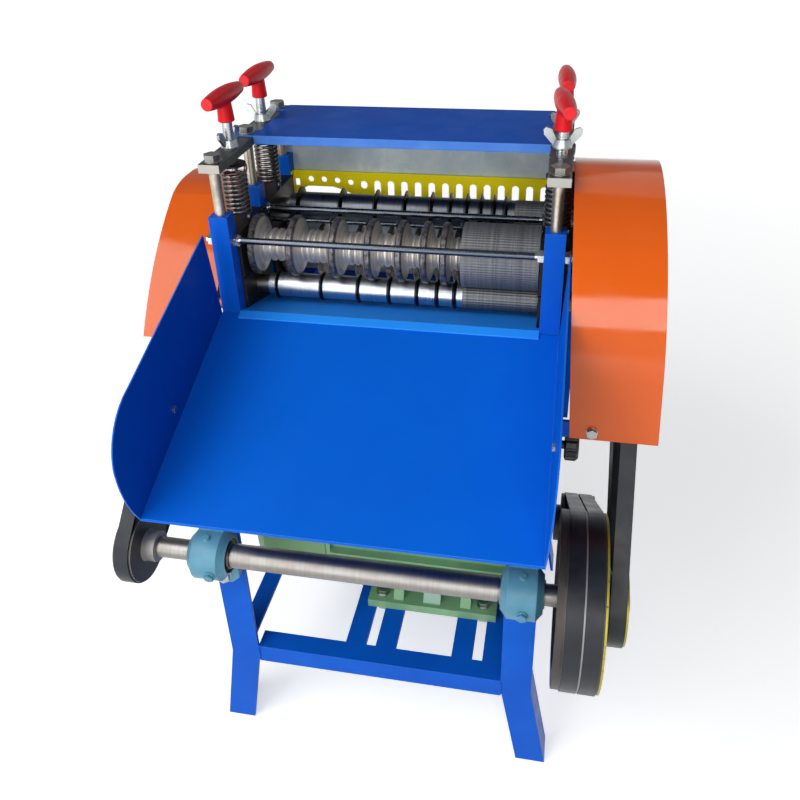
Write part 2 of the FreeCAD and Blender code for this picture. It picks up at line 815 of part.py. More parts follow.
def biarc(p0, t0, p1, t1):
    """Two tangent arcs from p0 to p1 with end directions t0 and t1."""
    span = p1 - p0
    a = 2 * (t0.dot(t1) - 1)
    b = -2 * span.dot(t0 + t1)
    c = span.dot(span)
    reach = (-b - math.sqrt(b * b - 4 * a * c)) / (2 * a)
    if reach < 0:
        reach = (-b + math.sqrt(b * b - 4 * a * c)) / (2 * a)
    corner0 = p0 + t0 * reach
    corner1 = p1 - t1 * reach
    joint = (corner0 + corner1) * 0.5
    return [arc_between(p0, corner0, joint), arc_between(joint, corner1, p1)]


def coil_spring(x, y, z0, z1):
    """One unbroken round wire: a straight end, a bend, the turns, a bend and a straight end."""
    wire_d = 2 * spring_wire_radius
    r = spring_mean_radius
    rise0 = z0 + wire_d + spring_end_bend
    rise1 = z1 - wire_d - spring_end_bend
    pitch = (rise1 - rise0) / spring_turns
    slope = math.atan2(pitch, 2 * math.pi * r)

    def place(turn):
        angle = 2 * math.pi * turn
        return V(x + r * math.cos(angle), y + r * math.sin(angle), rise0 + pitch * turn)

    def direction(turn):
        angle = 2 * math.pi * turn
        flat = math.cos(slope)
        return V(-math.sin(angle) * flat, math.cos(angle) * flat, math.sin(slope))

    up = V(0, 0, 1)
    curves = []
    bend = (math.pi / 2 - slope)
    reach = spring_end_bend * math.tan(bend / 2)
    start_corner = place(0) - direction(0) * reach
    start_low = start_corner - up * reach
    curves.append(Part.LineSegment(V(start_low.x, start_low.y, z0), start_low))
    curves.append(arc_between(start_low, start_corner, place(0)))
    steps = spring_turns * 2
    for i in range(steps):
        a = i / 2.0
        b = (i + 1) / 2.0
        curves += biarc(place(a), direction(a), place(b), direction(b))
    end_corner = place(spring_turns) + direction(spring_turns) * reach
    end_high = end_corner + up * reach
    curves.append(arc_between(place(spring_turns), end_corner, end_high))
    curves.append(Part.LineSegment(end_high, V(end_high.x, end_high.y, z1)))
    path = Part.Wire([curve.toShape() for curve in curves])
    section = Part.Wire([Part.Circle(V(start_low.x, start_low.y, z0), up, spring_wire_radius).toShape()])
    tube = path.makePipeShell([section], True, False)
    if not tube.isValid():
        print("spring tube is not valid")
    gap = least_gap(place)
    print("spring: pitch %.2f mm, least gap between turns %.2f mm, volume ratio %.4f" % (
        pitch, gap, tube.Volume / (math.pi * spring_wire_radius ** 2 * path.Length)))
    return tube


def least_gap(place):
    """Smallest clear distance between points of the wire at least half a turn apart."""
    steps = 48
    points = [place(i / steps) for i in range(spring_turns * steps + 1)]
    best = 1e9
    for i, a in enumerate(points):
        for b in points[i + steps // 2:]:
            best = min(best, (a - b).Length)
    return best - 2 * spring_wire_radius


# Pressure screws

def grip_at(x, y, turn):
    """Red tee grip: a spindle with flat ends, and a tapered hub that holds the screw."""
    half = grip_length / 2
    z = grip_axis_z
    top = z + grip_end_radius
    near = y - half
    far = y + half
    flat = top - grip_end_bevel
    bend = top - grip_end_bevel / 4
    run = grip_end_round
    edges = [Part.LineSegment(V(x, near, z), V(x, near, flat)),
             Part.Arc(V(x, near, flat), V(x, near + run / 3, bend), V(x, near + run, top)),
             Part.Arc(V(x, near + run, top), V(x, y, z + grip_middle_radius), V(x, far - run, top)),
             Part.Arc(V(x, far - run, top), V(x, far - run / 3, bend), V(x, far, flat)),
             Part.LineSegment(V(x, far, flat), V(x, far, z)),
             Part.LineSegment(V(x, far, z), V(x, near, z))]
    profile = Part.Face(Part.Wire([edge.toShape() for edge in edges]))
    spindle = profile.revolve(V(x, y, z), V(0, 1, 0), 360)
    low = grip_hub_bottom_z
    neck_z = z - grip_end_radius + 2
    hub = turned_z([(0, low), (grip_hub_radius - 1, low), (grip_hub_radius, low + 1),
                    (grip_hub_radius - grip_hub_taper, neck_z), (0, neck_z)], x, y)
    grip = fused([spindle, hub])
    grip = grip.cut(cyl_z(low - 1, z - grip_screw_depth, x, y, screw_radius))
    grip.rotate(V(x, y, 0), V(0, 0, 1), turn)
    return grip


def pressure_screw(x, y):
    chamfer = 1.2
    low = seat_bottom_z - screw_below_seat
    high = grip_axis_z - grip_screw_depth
    return turned_z([(0, low), (screw_radius - chamfer, low), (screw_radius, low + chamfer),
                     (screw_radius, high), (0, high)], x, y)


def wing_nut(x, y, z0, turn):
    """Tapered hub with two wings that spread and rise."""
    r = wing_hub_radius
    z1 = z0 + wing_hub_height
    half = wing_thickness / 2
    shapes = [turned_z([(0, z0), (r, z0), (r, z0 + 1.5), (r - wing_hub_taper, z1), (0, z1)], x, y)]
    for side in (-1, 1):
        face = face_of([V(x + side * out, y - half, z0 + rise) for out, rise in wing_outline])
        shapes.append(face.extrude(V(0, wing_thickness, 0)))
    bore = cyl_z(z0 - 1, z0 + 2 * wing_hub_height, x, y, screw_radius + running_clearance)
    body = fused(shapes).cut(bore)
    body.rotate(V(x, y, 0), V(0, 0, 1), turn)
    return body


def spring_seat(x, y):
    """Cupped washer under the bar that the screw turns in and the spring pushes against."""
    z0 = seat_bottom_z
    z1 = z0 + seat_thickness
    bore = screw_radius + running_clearance
    return turned_z([(bore, z0), (seat_radius, z0), (seat_radius, z0 + seat_thickness * 0.6),
                     (seat_radius - seat_bevel, z1), (bore, z1)], x, y)


# Belts and pulleys

def belt_section(centre, normal, belt_x, radius):
    """Trapezoid section of a V-belt, wide face outwards, at a place on its loop."""
    half = belt_top_width / 2
    low = half - belt_depth * belt_taper
    corners = ((-half, 0), (half, 0), (low, -belt_depth), (-low, -belt_depth))
    ring = []
    for dx, dr in corners:
        out = radius + dr
        ring.append(V(belt_x + dx, centre[0] + normal[0] * out, centre[1] + normal[1] * out))
    return face_of(ring)


def belt_loop(belt_x, c1, r1, c2, r2):
    """Closed V-belt round two pulleys; c1 and c2 are (y, z), r1 and r2 the belt's outer radii."""
    dy = c2[0] - c1[0]
    dz = c2[1] - c1[1]
    length = math.hypot(dy, dz)
    along = (dy / length, dz / length)
    across = (-along[1], along[0])
    sine = (r1 - r2) / length
    cosine = math.sqrt(1 - sine * sine)
    normals = []
    for tilt in (cosine, -cosine):
        normals.append((across[0] * tilt + along[0] * sine, across[1] * tilt + along[1] * sine))
    pieces = []
    for normal in normals:
        section = belt_section(c1, normal, belt_x, r1)
        run = V(0, c2[0] - c1[0] + normal[0] * (r2 - r1), c2[1] - c1[1] + normal[1] * (r2 - r1))
        pieces.append(section.extrude(run))
    first, second = normals
    start = math.atan2(first[1], first[0])
    end = math.atan2(second[1], second[0])
    turn = math.degrees((end - start) % (2 * math.pi))
    pieces.append(belt_section(c1, first, belt_x, r1).revolve(V(0, c1[0], c1[1]), V(1, 0, 0), turn))
    pieces.append(belt_section(c2, second, belt_x, r2).revolve(V(0, c2[0], c2[1]), V(1, 0, 0), 360 - turn))
    return fused(pieces)


def groove_points(x, rim):
    """Corners of one groove, from its left lip to its right lip, cut to the belt section."""
    belt_radius = rim + belt_proud
    floor = belt_radius - belt_depth - groove_floor_gap
    half_top = belt_top_width / 2 - belt_proud * belt_taper + groove_clearance
    half_floor = belt_top_width / 2 - (belt_radius - floor) * belt_taper + groove_clearance
    return [(x - half_top, rim), (x - half_floor, floor), (x + half_floor, floor), (x + half_top, rim)]


def pulley(x, y, z, rim, width, grooves, bore, hub_radius, hub_left, hub_right, web=0.0, lip=0.0):
    """V-pulley, dished on both faces where it has a web; the hub may stand out, a lip widens its left rim."""
    x0 = x - width / 2 - lip
    x1 = x + width / 2
    hub_x0 = x0 - hub_left
    hub_x1 = x1 + hub_right
    points = [(x0, rim)]
    for number in range(grooves):
        points += groove_points(x + (number - (grooves - 1) / 2) * groove_pitch, rim)
    points.append((x1, rim))
    if web > 0:
        inner = rim - pulley_rim_wall
        points += [(x1, inner), (x + web / 2, inner), (x + web / 2, hub_radius), (hub_x1, hub_radius),
                   (hub_x1, bore), (hub_x0, bore), (hub_x0, hub_radius),
                   (x - web / 2, hub_radius), (x - web / 2, inner), (x0, inner)]
    else:
        points += [(x1, hub_radius), (hub_x1, hub_radius), (hub_x1, bore), (hub_x0, bore),
                   (hub_x0, hub_radius), (x0, hub_radius)]
    cleaned = [p for i, p in enumerate(points) if p != points[i - 1]]
    return turned_x(cleaned, y, z)


def jackshaft():
    """Stepped shaft across the front legs: thick in the middle, thinner in its bearings and pulleys."""
    left = left_belt_x - small_pulley_width / 2 - pulley_overhang
    right = right_belt_x + small_pulley_width / 2 + pulley_overhang
    shoulder = pillow_half - pillow_boss_width / 2 - 3
    thin = journal_radius
    thick = jackshaft_radius
    profile = [(left, 0), (left, thin - 1), (left + 1, thin), (-shoulder, thin), (-shoulder, thick),
               (shoulder, thick), (shoulder, thin), (right - 1, thin), (right, thin - 1), (right, 0)]
    return turned_x(profile, jackshaft_y, jackshaft_z)


def jackshaft_pulleys():
    right_small = pulley(right_belt_x, jackshaft_y, jackshaft_z, small_pulley_radius, small_pulley_width, 1,
                         journal_radius, right_small_hub_radius, 0, 0)
    left_small = pulley(left_belt_x, jackshaft_y, jackshaft_z, small_pulley_radius, small_pulley_width, 1,
                        journal_radius, left_collar_radius, 0, left_collar_length)
    double = pulley(double_pulley_x, jackshaft_y, jackshaft_z, double_pulley_radius, double_pulley_width, 2,
                    journal_radius, double_hub_radius, double_hub_left - double_pulley_lip, double_hub_right,
                    web=double_pulley_web, lip=double_pulley_lip)
    return [double, right_small, left_small]


def large_pulley(x, row_y, hub_left, hub_right):
    return pulley(x, row_y, lower_axis_z, large_pulley_radius, small_pulley_width, 1, shaft_radius,
                  large_hub_radius, hub_left, hub_right, web=large_pulley_web)


# Pillow blocks

def pillow_block(side):
    """Cast bearing housing bolted upright on the leg: long base, round boss with a step ring on each side."""
    x = side * pillow_half
    y_base = front_leg_y
    y_face = y_base - pillow_base_thickness
    half_length = pillow_base_length / 2
    corner = pillow_base_width / 2
    cut = pillow_corner_cut
    outline = [(-corner, -half_length + cut), (-corner + cut, -half_length), (corner - cut, -half_length),
               (corner, -half_length + cut), (corner, half_length - cut), (corner - cut, half_length),
               (-corner + cut, half_length), (-corner, half_length - cut)]
    base = face_of([V(x + dx, y_base, jackshaft_z + dz) for dx, dz in outline])
    base = base.extrude(V(0, -pillow_base_thickness, 0))
    half = pillow_boss_width / 2
    body = pillow_body_width / 2
    ring = pillow_ring_radius
    inside = bearing_outer_radius / 2
    round_r = pillow_boss_radius
    boss = turned_x([(x - half, inside), (x - half, ring - 1), (x - half + 2, ring + 1), (x - body, round_r),
                     (x + body, round_r), (x + half - 2, ring + 1), (x + half, ring - 1), (x + half, inside)],
                    jackshaft_y, jackshaft_z)
    foot = round_r + pillow_foot_spread
    waist = round_r * 0.9
    cheek = prism_x([(y_face, jackshaft_z - foot), (jackshaft_y, jackshaft_z - waist),
                     (jackshaft_y, jackshaft_z + waist), (y_face, jackshaft_z + foot)], x - body, x + body)
    nipple_top = jackshaft_z + round_r + pillow_nipple_radius
    nipple = cyl_z(jackshaft_z, nipple_top, x, jackshaft_y, pillow_nipple_radius)
    nipple.rotate(V(x, jackshaft_y, jackshaft_z), V(1, 0, 0), pillow_nipple_tilt)
    block = fused([base, boss, cheek, nipple])
    block = block.cut(cyl_x(x - half - 1, x + half + 1, jackshaft_y, jackshaft_z, bearing_outer_radius))
    hole = pillow_bolt_radius + bolt_play
    for up in (-1, 1):
        z = jackshaft_z + up * pillow_bolt_pitch / 2
        block = block.cut(cyl_y(y_face - 1, y_base + 1, x, z, hole))
    return block


def pillow_bearing(side):
    """Bearing insert: outer ring in the housing, and an inner ring with its collar proud on both sides."""
    x = side * pillow_half
    half = pillow_boss_width / 2
    race = half - 5
    reach = half + pillow_seal_reach
    inner = journal_radius + running_clearance
    seal = pillow_seal_radius
    outer = bearing_outer_radius
    profile = [(x - reach, inner), (x - reach, seal), (x - race, seal), (x - race, outer),
               (x + race, outer), (x + race, seal), (x + reach, seal), (x + reach, inner)]
    return turned_x(profile, jackshaft_y, jackshaft_z)


# Motor

def motor_housing():
    """Finned stator housing, two cast feet under it, and a bolted end shield at each end."""
    ring = []
    for i in range(motor_fin_count):
        middle = 2 * math.pi * (i + 0.5) / motor_fin_count
        half = motor_fin_width / 2 / motor_fin_radius
        root_half = motor_fin_width / 2 / motor_core_radius * 1.5
        for radius, turn in ((motor_core_radius, middle - root_half), (motor_fin_radius, middle - half),
                             (motor_fin_radius, middle + half), (motor_core_radius, middle + root_half)):
            ring.append((motor_y + radius * math.cos(turn), motor_z + radius * math.sin(turn)))
    pad = terminal_pad_half
    pad_bottom = motor_z + motor_core_radius * 0.7
    terminal_pad = box(motor_x - pad, motor_x + pad, motor_y - pad + 2, motor_y + pad - 2, pad_bottom,
                       motor_z + terminal_box_seat)
    housing = fused([prism_x(ring, motor_body_x0, motor_body_x1), terminal_pad])
    bore = motor_shaft_radius + running_clearance
    housing = housing.cut(cyl_x(motor_body_x0 - 1, motor_body_x1 + 1, motor_y, motor_z, bore))
    feet = [motor_foot(side) for side in (-1, 1)]
    return [housing] + feet + [end_shield(motor_body_x1, 1, bore), end_shield(motor_body_x0, -1, bore)]


def motor_foot(side):
    """Cast foot with three ribs that rise to a saddle under the fins."""
    top = low_rail_top_z + foot_thickness
    line = motor_y + side * foot_bolt_y / 2
    inner = line - side * (foot_width - foot_edge)
    outer = line + side * foot_edge
    shapes = [box(motor_x - foot_length / 2, motor_x + foot_length / 2, inner, outer, low_rail_top_z, top)]
    saddle = []
    for out, down in foot_saddle:
        saddle.append((motor_y + side * motor_fin_radius * out, motor_z - motor_fin_radius * down))
    rib = [(line + side * foot_edge * 0.67, top - 1), (inner, top - 1)] + saddle
    middle_half = foot_rib_half * foot_middle_rib
    for place, half in ((-foot_rib_pitch, foot_rib_half), (0, middle_half), (foot_rib_pitch, foot_rib_half)):
        shapes.append(prism_x(rib, motor_x + place - half, motor_x + place + half))
    foot = fused(shapes).cut(cyl_x(motor_body_x0, motor_body_x1, motor_y, motor_z, motor_fin_radius))
    for side_x in (-1, 1):
        foot = foot.cut(cyl_z(low_rail_top_z - 1, top + 1, motor_x + side_x * foot_bolt_x / 2, line,
                              foot_bolt_radius + bolt_play))
    return foot


def end_shield(x, side, bore):
    end = x + side * end_shield_length
    neck = end - side * end_shield_neck
    rim = motor_rim_radius
    profile = [(x, bore), (x, rim)]
    for out, drop in end_shield_steps:
        profile.append((x + side * out, rim - drop))
    profile += [(neck, end_shield_neck_radius), (neck, end_shield_hub_radius),
                (end, end_shield_hub_radius), (end, bore)]
    shield = turned_x(profile, motor_y, motor_z)
    ears = []
    for i in range(4):
        turn = math.radians(45 + 90 * i)
        reach = rim - 3
        ears.append(cyl_x(x, x + side * shield_ear_length, motor_y + reach * math.cos(turn),
                          motor_z + reach * math.sin(turn), 8))
    return fused([shield] + ears)


def motor_fan_cover():
    """Drawn sheet cover over the fan, slotted at its closed end."""
    x1 = motor_body_x0 - shield_ear_length - sheet_gap
    x0 = x1 - fan_cover_length
    wall = fan_cover_wall
    bend = fan_cover_round
    r = motor_rim_radius + sheet_gap + wall
    knee_x = x0 + bend / 3.5
    knee_r = r - bend / 2.8
    cover = turned_x([(x0, 0), (x0, r - bend), (knee_x, knee_r), (x0 + bend, r), (x1, r), (x1, r - wall),
                      (x0 + bend + 0.5, r - wall), (knee_x + 0.8, knee_r - 1.2),
                      (x0 + wall, r - bend - 0.6), (x0 + wall, 0)], motor_y, motor_z)
    low, high, half = fan_cover_slot
    slots = []
    for i in range(fan_cover_slots):
        slot = box(x0 - 1, x0 + wall + 1, motor_y - half, motor_y + half, motor_z + low, motor_z + high)
        slot.rotate(V(0, motor_y, motor_z), V(1, 0, 0), 360 * i / fan_cover_slots)
        slots.append(slot)
    return cover.cut(Part.Compound(slots))


def upright_edges(shape):
    return [edge for edge in shape.Edges if abs(edge.tangentAt(edge.FirstParameter).z) > 0.9]


def motor_terminal_box():
    """Box and lid with rounded corners on the motor's pad, and a cable gland at its back."""
    z0 = motor_z + terminal_box_seat
    z1 = z0 + terminal_box_height
    half = terminal_box_half
    depth = terminal_box_half - 4
    lap = terminal_lid_lap
    body = box(motor_x - half, motor_x + half, motor_y - depth, motor_y + depth, z0, z1)
    body = body.makeFillet(terminal_corner, upright_edges(body))
    lid = box(motor_x - half - lap, motor_x + half + lap, motor_y - depth - lap, motor_y + depth + lap, z1,
              z1 + terminal_lid_height)
    lid = lid.makeFillet(terminal_corner, upright_edges(lid))
    gland_x = motor_x - gland_shift
    gland_y = motor_y + depth
    gland_z = z0 + gland_height
    gland = hexagon(V(gland_x, gland_y, gland_z), V(0, 1, 0), gland_flats, gland_length)
    entry = cyl_y(gland_y, gland_y + 2 * gland_length, gland_x, gland_z, gland_entry_radius)
    bore = cyl_y(gland_y + 4, gland_y + 2 * gland_length + 4, gland_x, gland_z, gland_bore_radius)
    return fused([body, lid, gland, entry]).cut(bore)


def motor_shaft():
    """Shaft with a fan at its hidden end; the pulley end reaches through both belts."""
    end = double_pulley_x + double_pulley_width / 2 - 2
    fan_x = motor_body_x0 - end_shield_length - fan_gap
    fan_end = fan_x - fan_width
    plate_x = fan_x - fan_plate
    r = motor_shaft_radius
    hub = fan_hub_radius
    start = fan_end - 4
    shaft = turned_x([(start, 0), (start, r), (end - 1.5, r), (end, r - 1.5), (end, 0)], motor_y, motor_z)
    fan = [turned_x([(fan_end, r), (fan_end, hub), (plate_x, hub), (plate_x, fan_radius),
                     (fan_x, fan_radius), (fan_x, r)], motor_y, motor_z)]
    half = fan_vane_thickness / 2
    for i in range(fan_vanes):
        vane = box(fan_end, plate_x + 1, motor_y - half, motor_y + half, motor_z + hub - 4,
                   motor_z + fan_radius - 2)
        vane.rotate(V(0, motor_y, motor_z), V(1, 0, 0), 360 * i / fan_vanes)
        fan.append(vane)
    return [shaft, fused(fan)]


def motor_pulley():
    return pulley(double_pulley_x, motor_y, motor_z, motor_pulley_radius, double_pulley_width, 2,
                  motor_shaft_radius, large_hub_radius, 8, 0)


# Sheet metal

def tray_floor_z(y):
    return tray_back_z + (y - tray_back_y) * tray_slope


def lean_right(shape):
    """Tip something on the tray's right wall outwards with it, about the floor's edge."""
    run = V(0, tray_back_y - tray_front_y, tray_back_z - tray_floor_z(tray_front_y))
    shape.rotate(V(frame_outer_half, tray_back_y, tray_back_z), run, tray_right_lean)
    return shape


def discharge_tray():
    """Sloped floor with a hemmed front edge and two rounded side walls; the right wall leans a little."""
    outer = frame_outer_half + sheet
    inner = frame_outer_half
    drop = sheet * math.sqrt(1 + tray_slope ** 2)
    front_z = tray_floor_z(tray_front_y)
    floor = prism_x([(tray_back_y, tray_back_z), (tray_front_y, front_z), (tray_front_y, front_z - drop),
                     (tray_back_y, tray_back_z - drop)], -outer, outer)
    hem_y = tray_front_y + tray_hem
    hem_z = front_z - drop + tray_hem * tray_slope
    hem = prism_x([(tray_front_y, front_z - drop), (hem_y, hem_z), (hem_y, hem_z - drop),
                   (tray_front_y, front_z - 2 * drop)], -outer, outer)
    tray = fused([floor, hem, tray_wall(-1), lean_right(tray_wall(1))])
    for side, y, z in tray_screw_places:
        hole = cyl_x(side * (inner - 1), side * (outer + 4), y, z, tray_screw_radius + running_clearance)
        tray = tray.cut(lean_right(hole) if side > 0 else hole)
    return tray


def tray_wall(side):
    """Side wall of the tray: straight at the back, rounded over its nose down to the floor's front edge."""
    x = side * frame_outer_half
    drop = sheet * math.sqrt(1 + tray_slope ** 2)
    back_bottom = V(x, tray_back_y, tray_back_z - drop)
    back_top = V(x, tray_wall_back_y, tray_wall_back_z)
    high, bend, nose, low = [V(x, tray_nose_y + dy, tray_wall_back_z - dz) for dy, dz in tray_curve]
    front_bottom = V(x, tray_front_y, tray_floor_z(tray_front_y) - drop)
    edges = [Part.LineSegment(back_bottom, back_top), Part.LineSegment(back_top, high),
             Part.Arc(high, bend, nose), Part.Arc(nose, low, front_bottom),
             Part.LineSegment(front_bottom, back_bottom)]
    return Part.Face(Part.Wire([edge.toShape() for edge in edges])).extrude(V(side * sheet, 0, 0))


def front_apron():
    """Catch plate under the front rollers, folded down over the tray's back edge."""
    half = frame_inner_half - block_lip_thickness - 2 * block_side_clearance
    y0 = tray_back_y - apron_lap
    y1 = apron_front_y
    lap_z = tray_floor_z(y0) + sheet_gap
    bend_z = tray_floor_z(y1) + sheet_gap
    back_z = bend_z - apron_drop

    def plate_z(y):
        return bend_z - apron_drop * (y - y1) / (apron_depth - y1)

    shapes = [prism_x([(y0, lap_z + sheet), (y1, bend_z + sheet), (apron_depth, back_z + sheet),
                       (apron_depth, back_z), (y1, bend_z), (y0, lap_z)], -half, half)]
    ear_y = apron_ear_depth
    ear = [(y0, lap_z + sheet), (y1, bend_z + sheet), (ear_y, plate_z(ear_y) + sheet),
           (ear_y, plate_z(ear_y)), (y1, bend_z), (y0, lap_z)]
    y2 = y1 + apron_flange_inset
    flange = [(y2, plate_z(y2)), (apron_depth, back_z), (apron_depth, back_z - apron_flange_back),
              (y2, plate_z(y2) - apron_flange_front)]
    for side in (-1, 1):
        shapes.append(prism_x(ear, side * half, side * frame_inner_half))
        shapes.append(prism_x(flange, side * (half - apron_flange_thickness), side * half))
    return fused(shapes)


def right_cover_outline(x, inset):
    """Straight sides and a half-round top, in a plane that leans with the cover."""
    r = right_cover_radius - inset
    y = front_row_y
    z = lower_axis_z
    bottom = right_cover_bottom_z - inset
    edges = [Part.LineSegment(V(x, y + r, bottom), V(x, y - r, bottom)),
             Part.LineSegment(V(x, y - r, bottom), V(x, y - r, z)),
             Part.Arc(V(x, y - r, z), V(x, y, z + r), V(x, y + r, z)),
             Part.LineSegment(V(x, y + r, z), V(x, y + r, bottom))]
    wire = Part.Wire([edge.toShape() for edge in edges])
    wire.rotate(V(x, 0, z), V(0, 1, 0), -right_cover_lean)
    return wire


def left_cover_outline(x, inset):
    """Curved front flank along the belt, a shoulder, a short flat top, and a round back over the pulley."""
    y = rear_row_y
    z = lower_axis_z
    top = left_cover_top_z - inset
    r = left_cover_back_radius - inset
    bottom = left_cover_bottom_z - inset
    front = V(x, left_cover_front_y + inset * 1.4, left_cover_bottom_z)
    shoulder = V(x, y - left_cover_shoulder_y + inset * 0.4, top - left_cover_shoulder_drop)
    chord = shoulder - front
    flank = (front + shoulder) * 0.5 + V(0, -chord.z, chord.y).normalize() * left_cover_flank_bulge
    flat = V(x, y - left_cover_flat, top)
    over = V(x, (shoulder.y + flat.y) / 2, top - left_cover_shoulder_drop / 4)
    half = r * math.sin(math.pi / 4)
    edges = [Part.LineSegment(V(x, y + r, bottom), V(x, front.y, bottom))]
    if inset > 0:
        edges.append(Part.LineSegment(V(x, front.y, bottom), front))
    edges += [Part.Arc(front, flank, shoulder), Part.Arc(shoulder, over, flat),
              Part.LineSegment(flat, V(x, y, top)),
              Part.Arc(V(x, y, top), V(x, y + half, z + half), V(x, y + r, z)),
              Part.LineSegment(V(x, y + r, z), V(x, y + r, bottom))]
    return Part.Wire([edge.toShape() for edge in edges])


def belt_cover(outline, outer_x, inner_x):
    """Sheet box open towards the machine and at the bottom: an outer plate and a bent rim."""
    inward = 1 if inner_x > outer_x else -1
    start = outer_x + inward * sheet
    solid = Part.Face(outline(outer_x, 0)).extrude(V(inner_x - outer_x, 0, 0))
    hollow = Part.Face(outline(start, sheet)).extrude(V(inner_x + inward - start, 0, 0))
    return solid.cut(hollow)


def belt_cover_right():
    """Cover over the right belt; its top rests on the bar by a short stay."""
    lean = math.radians(right_cover_lean)
    cover = belt_cover(right_cover_outline, right_cover_outer, right_cover_inner)
    stay_x = bar_middle_half + bar_width / 2
    top = lower_axis_z + right_cover_radius * math.cos(lean) - sheet / 2
    edge_x = right_cover_inner - right_cover_radius * math.sin(lean) + sheet
    stay = box(stay_x, edge_x, front_row_y - cover_stay_half, front_row_y + cover_stay_half, top - sheet, top)
    y = front_row_y - right_cover_radius
    hole = cyl_y(y - 1, y + sheet + 1, cover_screw_x, cover_screw_z, cover_screw_radius + running_clearance)
    return fused([cover, stay]).cut(hole)


def belt_cover_left():
    """Cover over the left belt; two spacers hold its rim off the front and the rear post."""
    inner = left_cover_inner
    cover = belt_cover(left_cover_outline, -left_cover_outer, -inner)
    low_z = left_cover_bottom_z + left_spacer_rise
    high_z = left_cover_top_z - left_spacer_drop
    lip = spacer_lip
    fixings = []
    for y, z in ((post_y[0], low_z), (post_y[2], high_z)):
        fixings.append(cyl_x(-frame_outer_half, -inner, y, z, left_spacer_radius))
        fixings.append(box(-inner, -inner - sheet, y - lip, y + lip, z - lip, z + 4 * lip))
    envelope = Part.Face(left_cover_outline(-left_cover_outer, 0)).extrude(V(left_cover_outer, 0, 0))
    return fused([cover, fused(fixings).common(envelope)])


def top_cover():
    """Flat sheet with folded edges between the bars, and ears under the bolts of the bars."""
    z0 = bar_top_z
    y0 = post_y[1] - washer_radius
    y1 = frame_back_y + bar_overhang + 1
    half = top_cover_half
    fold_z = z0 - top_cover_flange
    shapes = [box(-half, half, y0, y1, z0, z0 + sheet), box(-half, half, y0, y0 + sheet, fold_z, z0),
              box(-half, half, y1 - sheet, y1, fold_z, z0)]
    for side in (-1, 1):
        for y in post_y[1:]:
            shapes.append(box(side * (half - 1), side * frame_outer_half, y - washer_radius,
                              y + washer_radius + 2, z0, z0 + sheet))
    cover = fused(shapes)
    for side in (-1, 1):
        for y in post_y[1:]:
            cover = cover.cut(cyl_z(z0 - 1, z0 + sheet + 1, side * bar_middle_half, y, column_bore_radius))
    return cover


def feed_comb():
    """Yellow guide plate with holes for thin wire, slots for thicker wire and a low arch for cable."""
    half = frame_inner_half
    y0 = comb_y - 1
    y1 = comb_y + comb_sheet + 1
    low = comb_bottom_z - 1
    plate = box(-half, half, comb_y, comb_y + comb_sheet, comb_bottom_z, comb_top_z)
    cuts = []
    for i, drop in enumerate(comb_hole_drops):
        cuts.append(cyl_y(y0, y1, comb_first_x + i * comb_hole_pitch, comb_hole_z - drop, comb_hole_radius))
    oval_x = comb_first_x + len(comb_hole_drops) * comb_hole_pitch
    cuts.append(fused([cyl_y(y0, y1, oval_x, comb_oval_z + rise, comb_slot_half) for rise in (-1, 1)]))
    slot_x = oval_x + comb_hole_pitch
    while slot_x + comb_slot_half < half - comb_edge:
        round_end = cyl_y(y0, y1, slot_x, comb_slot_top_z, comb_slot_half)
        shank = box(slot_x - comb_slot_half, slot_x + comb_slot_half, y0, y1, low, comb_slot_top_z)
        cuts.append(fused([round_end, shank]))
        slot_x += comb_hole_pitch
    cuts.append(box(-half + comb_edge, -half + 2 * comb_slot_half, y0, y1, comb_arch_top_z, comb_hole_z))
    shapes = [plate.cut(Part.Compound(cuts)).cut(comb_arch(y0, y1, low))]
    for side in (-1, 1):
        shapes.append(box(side * half, side * (half - comb_sheet), comb_y - comb_end_depth,
                          comb_y + comb_sheet / 2, comb_top_z - comb_end_height, comb_top_z))
    return fused(shapes)


def comb_arch(y0, y1, low):
    """Wide low arch under the small holes: steep at its left end, sloping down to the right."""
    top = comb_arch_top_z
    left = comb_first_x - comb_arch_lead
    right = comb_first_x + (len(comb_hole_drops) + 0.2) * comb_hole_pitch
    knee = comb_first_x + 1.6 * comb_hole_pitch
    fall = comb_first_x + 3 * comb_hole_pitch
    shoulder = [V(left + dx, y0, top - dz) for dx, dz in comb_arch_shoulder]
    bend, dip, end = [top - dz for dz in comb_arch_fall]
    edges = [Part.LineSegment(V(left, y0, low), shoulder[0]), Part.Arc(*shoulder),
             Part.LineSegment(shoulder[2], V(knee, y0, top)),
             Part.Arc(V(knee, y0, top), V((knee + fall) / 2, y0, bend), V(fall, y0, dip)),
             Part.LineSegment(V(fall, y0, dip), V(right, y0, end)),
             Part.LineSegment(V(right, y0, end), V(right, y0, low)),
             Part.LineSegment(V(right, y0, low), V(left, y0, low))]
    return Part.Face(Part.Wire([edge.toShape() for edge in edges])).extrude(V(0, y1 - y0, 0))


def rear_panel():
    """Two galvanised sheets on the back of the rear posts, above and below the wire's way in."""
    y0 = frame_back_y
    y1 = y0 + panel_thickness
    z0 = comb_top_z - panel_lap
    half = frame_outer_half - panel_inset
    plate = box(-half, half, y0, y1, z0, bar_bottom_z - soft_gap)
    fold = box(-frame_inner_half, frame_inner_half, y1, y1 + panel_fold, z0, z0 + panel_thickness)
    upper = fused([plate, fold])
    lower = box(-half, half, y0, y1, stand_top_z, low_panel_top_z)
    hole = panel_screw_radius + running_clearance
    for side in (-1, 1):
        x = side * bar_middle_half
        upper = upper.cut(cyl_y(y0 - 1, y1 + 1, x, panel_screw_z, hole))
        lower = lower.cut(cyl_y(y0 - 1, y1 + 1, x, low_panel_screw_z, hole))
    return [upper, lower]


# Loose fasteners and the clamp knob

